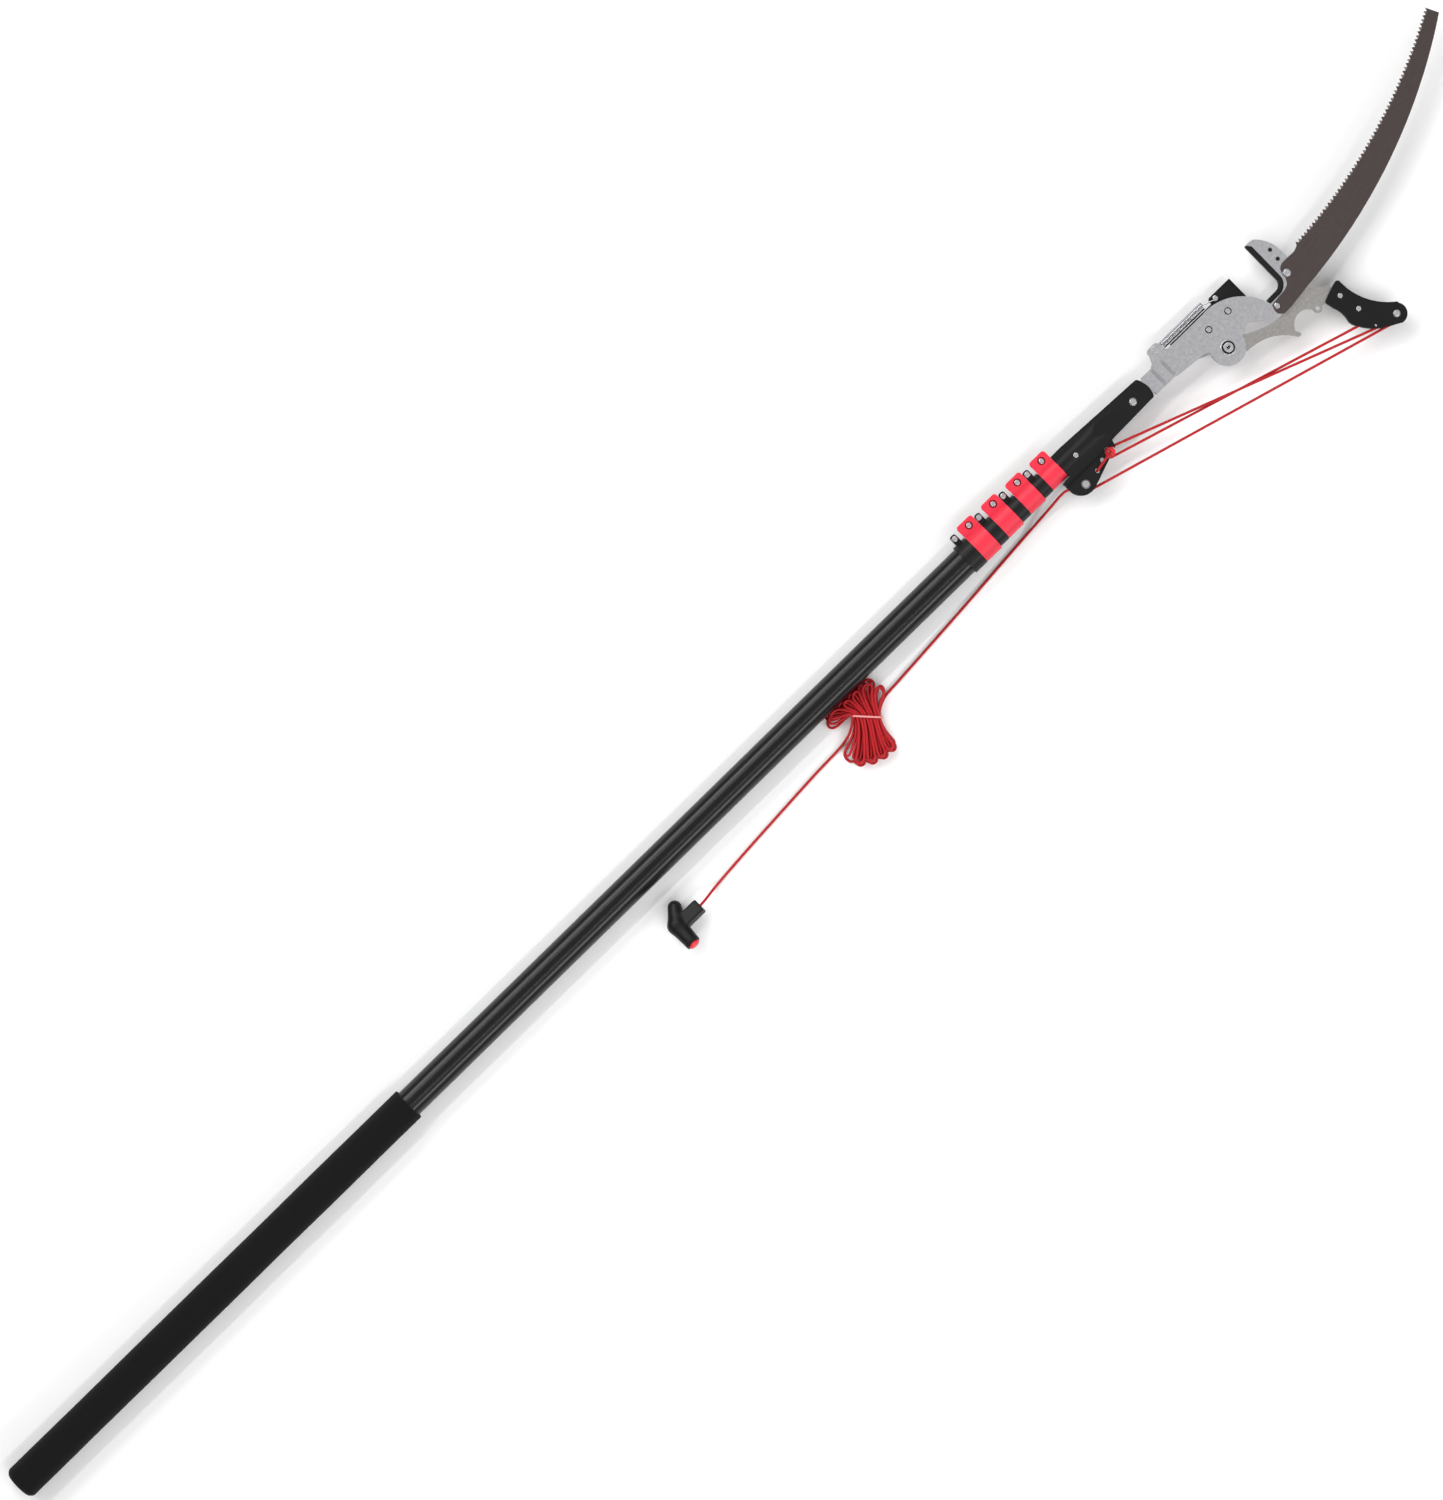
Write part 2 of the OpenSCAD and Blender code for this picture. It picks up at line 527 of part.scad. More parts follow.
module return_spring() color([0.7, 0.7, 0.72]) at_head() {
    translate([spring_x[0], spring_y, 0]) rotate([0, 90, 0]) difference() {
        cylinder(h = spring_x[1] - spring_x[0], r = spring_od / 2);
        translate([0, 0, -1]) cylinder(h = spring_x[1] - spring_x[0] + 2, r = spring_od / 2 - wire_d);
    }
    spring_end(spring_x[0] + wire_d / 2, screw_at, 0);
    spring_end(spring_x[1] - wire_d / 2, post_at, 1);
}

module spring_screw() color([0.8, 0.8, 0.82]) at_head() {
    upright(screw_at, bottom_z - 1, skin_z, 1.8);
    upright(screw_at, skin_z, skin_z + 1.8, 4);
    upright(screw_at, bottom_z - 1, bottom_z, 3.4);
}

// ---- Saw blade ----

tooth_line = arc3([229, -3.5], [378, 24.4], [510.5, 81.4], saw_teeth);
saw_back = arc3([203.4, -47.7], [374.2, -8.5], [518, 66.4], 24);
function inward(i) = let (t = unit(tooth_line[min(i + 1, saw_teeth)] - tooth_line[max(i - 1, 0)]))
    [t.y, -t.x];
teeth = [for (i = [0:saw_teeth - 1])
    let (a = tooth_line[i], b = tooth_line[i + 1], n = inward(i))
    each [a, a + 0.42 * (b - a) + n * tooth_depth]];
saw_outline = concat(teeth, [tooth_line[saw_teeth]],
    [for (i = [len(saw_back) - 1:-1:0]) saw_back[i]],
    [[176, -51.2]], arc3([166, -51.4], [160.6, -47], [160.4, -40], 5),
    arc3([162, -35.4], [173, -34], [182.5, -33.4], 4),
    arc3([189, -31], [193.2, -25], [194, -18], 4), arc3([196, -13.5], [199.5, -10.6], [204, -9.8], 3),
    [[221, -9.9], [227, -7.3]]);

module saw_blade() color([0.33, 0.29, 0.28]) at_head() difference() {
    slab(saw_outline, skin_z, skin_z + saw_t);
    for (i = [0, 1]) upright(saw_bolts[i], skin_z - 1, skin_z + saw_t + 1, saw_bolt_r[i] + fit);
}

module saw_fasteners() color([0.8, 0.8, 0.82]) at_head() for (i = [0, 1])
    bolt(saw_bolts[i], bottom_z, skin_z + saw_t, saw_bolt_r[i], saw_head_r[i], 2.2, 3);

// ---- Pull lever ----

lever_outline = concat(
    arc(pivot, 13, 75, 20, 4), [[113, -33.4], [120.1, -38.3], [129.7, -43]],
    arc3([143.4, -48.2], [163, -50.8], [185, -48.6], 8),
    arc3([200.6, -49.3], [214, -57], [222.5, -67.2], 8),
    [[228, -82], [234, -98], [238, -107]], arc3([238, -112], [234, -115.6], [228, -115], 4),
    [[222, -110], [218, -98], [214, -86], [207.1, -74.4]],
    arc([195.8, -72.9], 5.4, -20, -170, 8),
    arc3([190.4, -70], [178.5, -62.4], [163.6, -69.1], 10),
    [[160.6, -73.5], [163.4, -78.9], [162.5, -81.6], [158.7, -80.8]],
    arc3([155.8, -76.5], [140.6, -61.9], [119.1, -53.8], 8),
    arc(pivot, 17.5, -70, -180, 8), arc(pivot, 13, 180, 120, 4));

// Flat ring sector about the pivot, with angles counted from +Y towards -X.
module sector(r0, r1, a0, a1) slab(concat(
    [for (p = arc([0, 0], r1, 90 + a0, 90 + a1, 16)) pivot + p],
    [for (p = arc([0, 0], r0, 90 + a1, 90 + a0, 16)) pivot + p]), 0, lever_t);

guide_angle = atan2(pivot.x - guides[1].x, guides[1].y - pivot.y);
throw = 2 * half_throw;
slot_end = asin(slot_r / guide_orbit);
module pull_lever() color([0.62, 0.6, 0.59]) at_head() difference() {
    union() {
        slab(lever_outline, 0, lever_t);
        hull() {
            upright(pivot, 0, lever_t, 9);
            upright(pin_at, 0, lever_t, 5.4);
        }
        sector(guide_orbit - 5.6, guide_orbit + 5.6, -6, guide_angle + throw + slot_end + 9);
    }
    upright(pivot, -1, lever_t + 1, pivot_d / 2 + run);
    upright(pin_at, -1, lever_t + 1, pin_r);
    translate([0, 0, -1]) linear_extrude(lever_t + 2) polygon(concat(
        [for (p = arc([0, 0], guide_orbit + slot_r, 90 + guide_angle, 92 + guide_angle + throw + slot_end, 16))
            pivot + p],
        [for (p = arc([0, 0], guide_orbit - slot_r, 92 + guide_angle + throw + slot_end, 90 + guide_angle, 16))
            pivot + p]));
    upright(guides[1], -1, lever_t + 1, slot_r);
    upright([195.8, -72.9], -1, lever_t + 1, 2.6);
    for (p = rivet_spots) upright(p, -1, lever_t + 1, 1.6 + fit);
}

module drive_pin() color([0.8, 0.8, 0.82]) at_head() upright(pin_at, cutter_z, lever_t, pin_r);

shell_t = 3.5;
rivet_spots = [[222.6, -80.2], [227.3, -104.5]];
shell_outline = concat(
    arc3([228, -66], [232.4, -66], [233.3, -70], 3),
    arc3([233.9, -80.1], [242.9, -106], [263.3, -128.7], 10),
    arc(end_sheave_at, 12.2, 35, -95, 10),
    arc3([232.5, -139.1], [220.2, -127.8], [210, -111.6], 6),
    arc3([209.6, -107], [211, -96], [208.3, -85.2], 4), [[206.1, -75.4]],
    arc3([206.4, -73.6], [214.4, -70.2], [226.8, -66.3], 3));

module lever_shell(z0, z1) color([0.07, 0.07, 0.08]) at_head() difference() {
    slab(shell_outline, z0, z1);
    for (p = rivet_spots) upright(p, z0 - 1, z1 + 1, 1.6 + fit);
    upright(end_sheave_at, z0 - 1, z1 + 1, 2.5 + fit);
    upright(dead_end + [0, 3], z0 - 1, z1 + 1, 1.2 + fit);
}

module lever_top_shell() lever_shell(lever_t, lever_t + shell_t);
module lever_bottom_shell() lever_shell(-shell_t, 0);

// Rivets of the shells, and the small post that the rope's dead end is tied to.
module lever_rivets() color([0.8, 0.8, 0.82]) at_head() {
    for (p = rivet_spots) {
        upright(p, -shell_t, lever_t + shell_t, 1.6);
        upright(p, lever_t + shell_t, lever_t + shell_t + 0.9, 2.8);
        upright(p, -shell_t - 0.9, -shell_t, 2.8);
    }
    upright(dead_end + [0, 3], -shell_t, lever_t + shell_t, 1.2);
}

module end_sheave() color([0.75, 0.75, 0.78]) at_head()
    sheave(end_sheave_at, rope_z, end_pitch, 2.5 + run, lever_t - 0.4);

module end_axle() color([0.8, 0.8, 0.82]) at_head()
    bolt(end_sheave_at, -shell_t, lever_t + shell_t, 2.5, 4.3, 2, 3);

// ---- Rope tackle ----

line_angle = atan2(end_sheave_at.y - low_sheave.y, end_sheave_at.x - low_sheave.x);
low_tangent = low_sheave + low_pitch * [cos(line_angle - 90), sin(line_angle - 90)];
end_tangent = end_sheave_at + end_pitch * [cos(line_angle - 90), sin(line_angle - 90)];
back_angle = atan2(end_sheave_at.y - ring_at.y, end_sheave_at.x - ring_at.x);
end_top = end_sheave_at + end_pitch * [cos(back_angle + 90), sin(back_angle + 90)];
ring_low = ring_at + ring_pitch * [cos(back_angle - 90), sin(back_angle - 90)];
ring_high = ring_at + ring_pitch * [cos(back_angle + 92), sin(back_angle + 92)];

function at_z(p, z) = [p.x, p.y, z];

// The three straight lines, the turn round the ring and the turn round the lower sheave.
module tackle_rope() color([0.75, 0.08, 0.1]) at_head() {
    sweep(concat([at_z(dead_end, rope_z + 0.4)],
        [for (i = [0:10]) at_z(ring_at + (ring_pitch + 0.1)
            * [cos(back_angle + 90 + 18 * i), sin(back_angle + 90 + 18 * i)], ring_lift * (1 - i / 5))],
        [at_z(end_top - [1, -0.3], rope_z)]), rope_r);
    sweep(concat([at_z(end_tangent - [1, -0.3], rope_z)],
        [for (p = arc(low_sheave, low_pitch + 0.1, line_angle - 90, -142, 5)) at_z(p, 0)]), rope_r);
}

// The turn round the end sheave.
module lever_rope() color([0.75, 0.08, 0.1]) at_head()
    sweep([for (p = arc(end_sheave_at, end_pitch + 0.1, back_angle + 90, line_angle - 90, 16))
        at_z(p, rope_z)], rope_r);

// Loop of rope through the ring, over the cheeks and through a tie hole.
module ring_lashing() color([0.75, 0.08, 0.1]) at_head() {
    half = [[0, 0.1], [0, 5.4], [-5, 7.8], [-12, cheek_half + rope_r + 0.6],
        [-21.6, cheek_half + rope_r + 0.3], [-24.1, cheek_half - 0.6], [-24.1, 0.1]];
    for (s = [1, -1]) sweep([for (p = smooth(half, 3))
        [ring_at.x + p.x, ring_at.y + p.x * 0.19, s * max(p.y, 0.02)]], rope_r);
}

module rope_upper() color([0.75, 0.08, 0.1]) sweep(smooth(upper_route, 4), rope_r);

// Hank: a flat fold under the tube's edge and a thick tassel beside it.
hank_lobe = concat([[-461, -48]], arc3([-449, -52], [-443, -40], [-446, -20], 6),
    [[-447, -17.4], [-514, -17.4]], arc3([-516, -22], [-511, -28], [-503, -32], 4), [[-484, -41]]);
hank_tassel = concat([[-480.5, -38.2]], arc3([-463, -57.5], [-466, -76], [-478, -89.6], 6),
    arc3([-486, -92.4], [-500, -90], [-508, -85.7], 4), arc3([-514, -79], [-520, -70], [-518, -57], 5),
    [[-496, -53.5]]);
hank_height = 15.4;
hank_under = [[-447, -17.4], [-450, -8], [-470, -3], [-505, -5], [-513, -10], [-514, -17.4]];

module rope_hank() color([0.75, 0.08, 0.1]) at_head() {
    slab(hank_lobe, floor_z, floor_z + hank_height);
    slab(hank_tassel, floor_z, floor_z + hank_height);
    slab(hank_under, floor_z, floor_z + rope_d + 0.2);
}

// Pale band tied round the hank's middle.
tie_at = [-472, -48.5];
module hank_tie() color([0.9, 0.6, 0.6]) at_head() translate([tie_at.x, tie_at.y, floor_z + hank_height])
    rotate([0, 0, -50]) translate([-12.5, -1.2, 0]) cube([25, 2.4, 1.2]);

module rope_lower() color([0.75, 0.08, 0.1]) sweep(smooth(lower_route, 3), rope_r);

// ---- Pull handle ----

module handle_frame() translate(handle_at) rotate([handle_roll, 0, 0]) children();

handle_arms = [[[11, 19, 0], 8.2], [[-1, 2, 0], 10.6], [[-1.5, -20.5, 0], 8.8]];
plug_face = -26.4;

module handle_body() color([0.1, 0.1, 0.11]) handle_frame() difference() {
    union() {
        for (i = [0, 1]) hull() for (j = [i, i + 1])
            translate(handle_arms[j][0]) sphere(r = handle_arms[j][1], $fn = 32);
        translate([0, -8, -6.5]) cube([33, 16, 13]);
    }
    along_x(20, 14, rope_r + 0.6);
    along_x(16, 5, rope_r);
    translate([-20, plug_face - 40, -20]) cube([60, 40, 40]);
}

// Red plug in the end of one arm.
module handle_plugs() color([0.85, 0.1, 0.12]) handle_frame()
    translate([-1.5, plug_face, 0]) rotate([90, 0, 0]) {
        cylinder(h = 1.8, r = 6.4);
        translate([0, 0, 1.8]) cylinder(h = 1.6, r1 = 6.4, r2 = 4.4);
    }

// ---- Show the chosen node, or all of them ----

tube(1);  // outer_tube
for (k = [2:5]) tube(k);
grip();
butt_plug();
for (k = [2:5]) slide_plug(k);
for (k = [1:4]) collar(k);
for (k = [1:4]) flip_lever(k);
for (k = [1:4]) lock_hardware(k);
adapter_top_shell();
adapter_bottom_shell();
adapter_fasteners();
lower_sheave();
sheave_axle();
turning_ring();
stem_core();
top_plate();
bottom_plate();
guide_bolts();
pivot_bolt();
anvil();
anvil_rivets();
cutter();
spring_post();
return_spring();
spring_screw();
saw_blade();
saw_fasteners();
pull_lever();
drive_pin();
lever_top_shell();
lever_bottom_shell();
lever_rivets();
end_sheave();
end_axle();
tackle_rope();
lever_rope();
ring_lashing();
rope_upper();
rope_hank();
hank_tie();
rope_lower();
handle_body();
handle_plugs();
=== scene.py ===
import json
from math import atan2, cos, radians, sin

import bmesh
import bpy
import numpy as np
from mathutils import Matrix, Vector

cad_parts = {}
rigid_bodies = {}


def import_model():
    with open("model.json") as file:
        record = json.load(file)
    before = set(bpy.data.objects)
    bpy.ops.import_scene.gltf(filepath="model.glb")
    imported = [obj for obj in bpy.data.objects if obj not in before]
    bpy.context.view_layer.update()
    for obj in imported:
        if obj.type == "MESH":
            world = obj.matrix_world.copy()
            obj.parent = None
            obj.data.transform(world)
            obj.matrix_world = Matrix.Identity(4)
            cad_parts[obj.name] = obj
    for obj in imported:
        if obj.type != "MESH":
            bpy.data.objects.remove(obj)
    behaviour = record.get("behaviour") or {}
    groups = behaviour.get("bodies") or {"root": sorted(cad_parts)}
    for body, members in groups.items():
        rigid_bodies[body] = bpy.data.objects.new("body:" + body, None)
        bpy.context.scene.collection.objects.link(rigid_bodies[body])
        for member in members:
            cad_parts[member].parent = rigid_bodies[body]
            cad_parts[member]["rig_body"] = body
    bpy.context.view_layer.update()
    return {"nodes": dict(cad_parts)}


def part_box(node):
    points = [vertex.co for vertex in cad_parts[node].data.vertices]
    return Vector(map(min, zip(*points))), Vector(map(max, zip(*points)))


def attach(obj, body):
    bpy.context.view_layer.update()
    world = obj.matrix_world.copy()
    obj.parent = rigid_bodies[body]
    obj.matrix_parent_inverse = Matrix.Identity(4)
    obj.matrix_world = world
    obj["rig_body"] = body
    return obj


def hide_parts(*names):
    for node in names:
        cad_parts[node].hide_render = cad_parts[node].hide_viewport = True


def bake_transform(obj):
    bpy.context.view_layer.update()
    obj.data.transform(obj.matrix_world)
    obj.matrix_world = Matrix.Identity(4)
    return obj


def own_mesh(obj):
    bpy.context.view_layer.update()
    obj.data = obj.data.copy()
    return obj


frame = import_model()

# ---- Table, light and camera ----
# The tool lies flat on a white table, on its rope and its foam grip.
# Long strip lights hang beside the pole and draw the pale lines down its lacquer.
# The camera looks straight down, turned so that the pole rises to the right.

table_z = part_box("rope_hank")[0].z
view_x, view_y = 1.119, 0.038
view_turn = radians(-44.35)
view_height = 8.0
view_lens = 174.5

camera = bpy.data.objects.new("camera", bpy.data.cameras.new("camera"))
camera.data.lens = view_lens
camera.data.sensor_fit = "VERTICAL"
camera.data.sensor_height = 36
camera.location = (view_x, view_y, view_height)
camera.rotation_euler = (0, 0, view_turn)
bpy.context.scene.collection.objects.link(camera)
bpy.context.scene.camera = camera


def seen(red, green, blue):
    """Colour as the eye sees it, from 0 to 255, turned into the light that paint sends back."""
    part = np.array([red, green, blue]) / 255
    light = np.where(part <= 0.04045, part / 12.92, ((part + 0.055) / 1.055) ** 2.4)
    return (*light.tolist(), 1.0)


def strip_light(name, at, size, power):
    """Rectangle of light at a point, turned to face the middle of the table."""
    lamp = bpy.data.lights.new(name, "AREA")
    lamp.shape = "RECTANGLE"
    lamp.size, lamp.size_y = size
    lamp.energy = power
    piece = bpy.data.objects.new(name, lamp)
    piece.location = at
    facing = Vector((at[0], view_y, 0)) - Vector(at)
    piece.rotation_euler = facing.to_track_quat("-Z", "Y").to_euler()
    piece.visible_camera = False
    bpy.context.scene.collection.objects.link(piece)


strip_light("left_strip", (view_x, 0.95, 1.5), (3.6, 0.10), 11)
strip_light("left_bank", (view_x, 2.4, 1.9), (3.6, 1.0), 66)
strip_light("right_strip", (view_x, -0.75, 1.7), (3.6, 0.07), 9)
strip_light("right_bank", (view_x, -2.3, 1.5), (3.6, 0.6), 46)


def lit_room(wall, ceiling):
    """Room with a bright ceiling: the light grows with height, from the walls' to the
    ceiling's, so that rounded edges mirror a darker wall."""
    room = bpy.data.worlds.new("room")
    room.use_nodes = True
    nodes, links = room.node_tree.nodes, room.node_tree.links
    way = nodes.new("ShaderNodeTexCoord")
    height = nodes.new("ShaderNodeSeparateXYZ")
    links.new(way.outputs["Generated"], height.inputs[0])
    light = nodes.new("ShaderNodeMapRange")
    light.inputs["From Min"].default_value = 0.1
    light.inputs["From Max"].default_value = 0.95
    light.inputs["To Min"].default_value = wall
    light.inputs["To Max"].default_value = ceiling
    links.new(height.outputs["Z"], light.inputs["Value"])
    links.new(light.outputs["Result"], nodes["Background"].inputs["Strength"])
    nodes["Background"].inputs["Color"].default_value = (1, 1, 1, 1)
    return room


bpy.context.scene.world = lit_room(0.12, 0.6)
bpy.context.scene.view_settings.view_transform = "Standard"


def plain(name, colour, roughness, metallic=0.0, coat=0.0, coat_roughness=0.1, specular=0.5):
    """New material with one even finish; patterns are joined to it later."""
    finish = bpy.data.materials.new(name)
    finish.use_nodes = True
    shader = finish.node_tree.nodes["Principled BSDF"]
    shader.inputs["Base Color"].default_value = colour
    shader.inputs["Roughness"].default_value = roughness
    shader.inputs["Metallic"].default_value = metallic
    shader.inputs["Coat Weight"].default_value = coat
    shader.inputs["Coat Roughness"].default_value = coat_roughness
    shader.inputs["Specular IOR Level"].default_value = specular
    return finish


def skin(name, grid, finish, closed=True, caps=True, uv=None):
    """Mesh over a grid of points, rows by columns. Neighbouring rows and columns are
    joined by four-sided faces; the last column joins the first when the rows are rings,
    and each end row is closed by one face. If the solid's volume comes out below nothing,
    every face is turned round."""
    rows, columns = grid.shape[:2]
    index = np.arange(rows * columns).reshape(rows, columns)
    across = np.roll(index, -1, axis=1) if closed else index[:, 1:]
    own = index if closed else index[:, :-1]
    faces = np.stack([own[:-1], across[:-1], across[1:], own[1:]], axis=-1).reshape(-1, 4)
    points = grid.reshape(-1, 3)
    a, b, c, d = (points[faces[:, i]] for i in range(4))
    middle = points.mean(0)
    volume = (np.einsum("ij,ij->i", a - middle, np.cross(b - middle, c - middle))
              + np.einsum("ij,ij->i", a - middle, np.cross(c - middle, d - middle))).sum()
    ends = [index[0][::-1].tolist(), index[-1].tolist()] if caps else []
    faces = faces.tolist() + ends
    if volume < 0:
        faces = [face[::-1] for face in faces]
    mesh = bpy.data.meshes.new(name)
    mesh.from_pydata(points.tolist(), [], faces)
    mesh.polygons.foreach_set("use_smooth", [len(face) == 4 for face in faces])
    if uv is not None:
        corners = np.empty(len(mesh.loops), dtype=np.int64)
        mesh.loops.foreach_get("vertex_index", corners)
        flat = uv.reshape(-1, 2)[corners]
        mesh.uv_layers.new(name="UVMap").data.foreach_set("uv", flat.ravel())
    mesh.materials.append(finish)
    piece = bpy.data.objects.new(name, mesh)
    bpy.context.scene.collection.objects.link(piece)
    return piece


table_side = 7.0
corner = np.array([-table_side, table_side])
table_grid = np.stack([*np.meshgrid(view_x + corner, view_y + corner, indexing="ij"),
                       np.full((2, 2), table_z)], axis=-1)
table = skin("table", table_grid, plain("table_white", (0.93, 0.93, 0.93, 1), 0.8),
             closed=False, caps=False)

# ---- Pull rope ----
# Braided nylon rope, 3 mm thick. It leaves the lower sheave, drops to the table beside the
# locks, is folded into a hank of five layers tied at its middle, and runs on to the handle.
# The red cover is braided over a soft core, so it bends in easy curves.

mm = 0.001
mouth_x = 1731.8
head_origin = np.array([mouth_x, 0, 0])
rope_thick = 3.0
rope_low = table_z / mm + rope_thick / 2
sheave_at = np.array([-122.0, -33.0])
sheave_pitch = 8.1
leaves_at = radians(218)

# The rope's way to the hank and on to the handle, from the adapter's mouth.
to_hank = [(-134, -30.5, 0), (-138.5, -25, -1), (-144, -22.8, -3), (-152, -22.8, -6),
           (-164, -24, -10.5), (-182, -25.6, -14.6), (-207, -27.6, -17.6), (-222, -28.8, -18.3),
           (-240, -30.2, rope_low), (-302, -35.3, rope_low), (-404, -42.9, rope_low)]
to_handle = [(-492, -43.6, -8), (-502, -48.6, -13), (-512, -51, -17), (-524, -52.2, rope_low),
             (-552, -53.2, rope_low), (-580, -54.8, rope_low), (-660, -60, rope_low),
             (-704, -63.4, rope_low), (-714, -64.3, rope_low + 0.2), (-724, -65.3, -16.6),
             (-733, -66.4, -12.4), (-740, -67.4, -8.4), (-746, -67.9, -6.1), (-752, -68, -5.6)]

hank_at = np.array([-472.8, -47.5])
hank_across = np.array([cos(radians(-47)), sin(radians(-47))])
hank_layers, hank_legs = 5, 9
hank_rise = 3.04
leg_gap = 3.55
hank_entry, entry_way = np.array([-437.0, -45.0]), np.array([0.998, 0.06])
waist_pull, fold_bulge = 0.9, 2.0

# The fans of folds at the hank's two ends: angles in degrees, and reaches from the tie. What
# a row holds is for each layer, from the table up. A layer's last fold lies outside its fan.
tassel_from, tassel_sweep, tassel_reach, tassel_flare = 268, -63, 42, 8
tassel_turned, tassel_longer = (0, 7, 3.5, -3.5, 1.5), (0, -2.5, 1.5, -3.5, -1)
tassel_climb_angle, tassel_climb_shorter = 193.5, 6
lobe_from, lobe_sweep, lobe_reach, lobe_flare = 30, 112, 35, 5
lobe_turned, lobe_longer = (0, 13, -6, 6.5, -3), (0, -1.5, 0, -2, -3)
lobe_climb_angle, lobe_climb_reach = 6, 28
lobe_top = (-9.7, -15.6, -19.2, -21.4, -23.0)


def through(points, steps=6):
    """Smooth curve through chosen points: between each pair the place is a cubic whose
    slope at either end is half the way from the point before to the point after."""
    p = np.asarray(points, float)
    p = np.vstack([2 * p[0] - p[1], p, 2 * p[-1] - p[-2]])
    t = np.linspace(0, 1, steps, endpoint=False)[None, :, None]
    a, b, c, d = (p[i:len(p) - 3 + i, None, :] for i in range(4))
    curve = b + 0.5 * t * ((c - a) + t * (2 * a - 5 * b + 4 * c - d + t * (3 * b - a - 3 * c + d)))
    return np.vstack([curve.reshape(-1, p.shape[1]), p[-2]])


def swing(p0, way0, p1, way1, steps=12):
    """Curve that leaves one point along a way and arrives at another along a way: the cubic
    that weighs both points and both ways."""
    t = np.linspace(0, 1, steps, endpoint=False)[:, None]
    return ((2 * t**3 - 3 * t**2 + 1) * p0 + (t**3 - 2 * t**2 + t) * way0
            + (3 * t**2 - 2 * t**3) * p1 + (t**3 - t**2) * way1)


def spread(first, second):
    """Places of the nine legs' ends along a side of the hank, as shares from 1 down to 0:
    two steps are taken in turn, one as wide as a loop and one as wide as the gap beside it."""
    steps = [second if leg % 2 else first for leg in range(hank_legs - 1)]
    places = np.concatenate([[0], np.cumsum(steps)])
    return (places / places[-1])[::-1]


tassel_share = spread(10.2, 4.6)
lobe_share = spread(4.2, 10.6)


def leg_end(layer, leg, low):
    """Point where a leg folds back and the way out of the hank there. The ends of the tassel
    lie on a fan below the tie, and those of the lobe on a fan above it, cut off straight
    where the pole lies over them. Each layer's last end is where the rope climbs."""
    if low:
        share = tassel_share[leg]
        angle = tassel_from + tassel_sweep * share + tassel_turned[layer]
        reach = tassel_reach + tassel_flare * share + tassel_longer[layer]
        if layer in (0, 2) and leg == 0:
            angle, reach = tassel_climb_angle, reach - tassel_climb_shorter
    else:
        share = lobe_share[leg]
        angle = lobe_from + lobe_sweep * share + lobe_turned[layer]
        reach = lobe_reach + lobe_flare * share + lobe_longer[layer]
        if layer in (1, 3) and leg == hank_legs - 1:
            angle, reach = lobe_climb_angle, lobe_climb_reach
    way = np.array([cos(radians(angle)), sin(radians(angle))])
    point = hank_at + reach * way
    if not low and point[1] > lobe_top[layer]:
        point = hank_at + way * (lobe_top[layer] - hank_at[1]) / way[1]
    return point, way


def hank_path():
    """Centre line of the hank. Each leg runs from its lobe end through the tied waist to its
    tassel end, or back, and a fold carries the rope to the next leg; the next layer goes
    the other way across."""
    stretches = []
    for layer in range(hank_layers):
        z = rope_low + hank_rise * layer
        order = range(hank_legs) if layer % 2 else range(hank_legs - 1, -1, -1)
        for turn, leg in enumerate(order):
            down = (layer * hank_legs + turn) % 2 == 0
            waist = hank_at + hank_across * (leg - (hank_legs - 1) / 2) * leg_gap
            lobe, lobe_way = leg_end(layer, leg, False)
            tassel, tassel_way = leg_end(layer, leg, True)
            if layer == 0 and turn == 0:
                lobe, lobe_way = hank_entry, entry_way
            along = waist_pull * (lobe - tassel) / np.linalg.norm(lobe - tassel)
            above, below = (np.linalg.norm(end - waist) for end in (lobe, tassel))
            if down:
                legs = [swing(lobe, -lobe_way * above, waist, -along * above),
                        swing(waist, -along * below, tassel, tassel_way * below)]
            else:
                legs = [swing(tassel, -tassel_way * below, waist, along * below),
                        swing(waist, along * above, lobe, lobe_way * above)]
            last = layer == hank_layers - 1 and turn == hank_legs - 1
            run = legs[0] if last else np.vstack(legs)
            stretches.append(np.c_[run, np.full(len(run), z)])
            if last:
                return np.vstack(stretches)
            here, way = (tassel, tassel_way) if down else (lobe, lobe_way)
            up = turn == hank_legs - 1
            there, back = leg_end(layer + up, leg if up else order[turn + 1], down)
            bulge = fold_bulge * np.linalg.norm(there - here)
            fold = swing(here, way * bulge, there, -back * bulge, 10)
            climb = up * hank_rise / 2 * (1 - np.cos(np.linspace(0, np.pi, 10, endpoint=False)))
            stretches.append(np.c_[fold, z + climb])


def even(path, step, ease):
    """The same line with its points a step apart, each then moved to the bell-weighted mean
    of its neighbours, so that no kink is left. Past each end the line is carried on by its
    own copy, turned half round about that end, so the two ends stay."""
    run = np.concatenate([[0], np.cumsum(np.linalg.norm(np.diff(path, axis=0), axis=1))])
    at = np.linspace(0, run[-1], int(run[-1] / step) + 1)
    line = np.stack([np.interp(at, run, path[:, i]) for i in range(3)], axis=-1)
    reach = int(3 * ease / step)
    bell = np.exp(-0.5 * (np.arange(-reach, reach + 1) * step / ease) ** 2)
    bell /= bell.sum()
    longer = np.vstack([2 * line[0] - line[reach:0:-1], line,
                        2 * line[-1] - line[-2:-reach - 2:-1]])
    return np.stack([np.convolve(longer[:, i], bell, mode="valid") for i in range(3)], axis=-1)


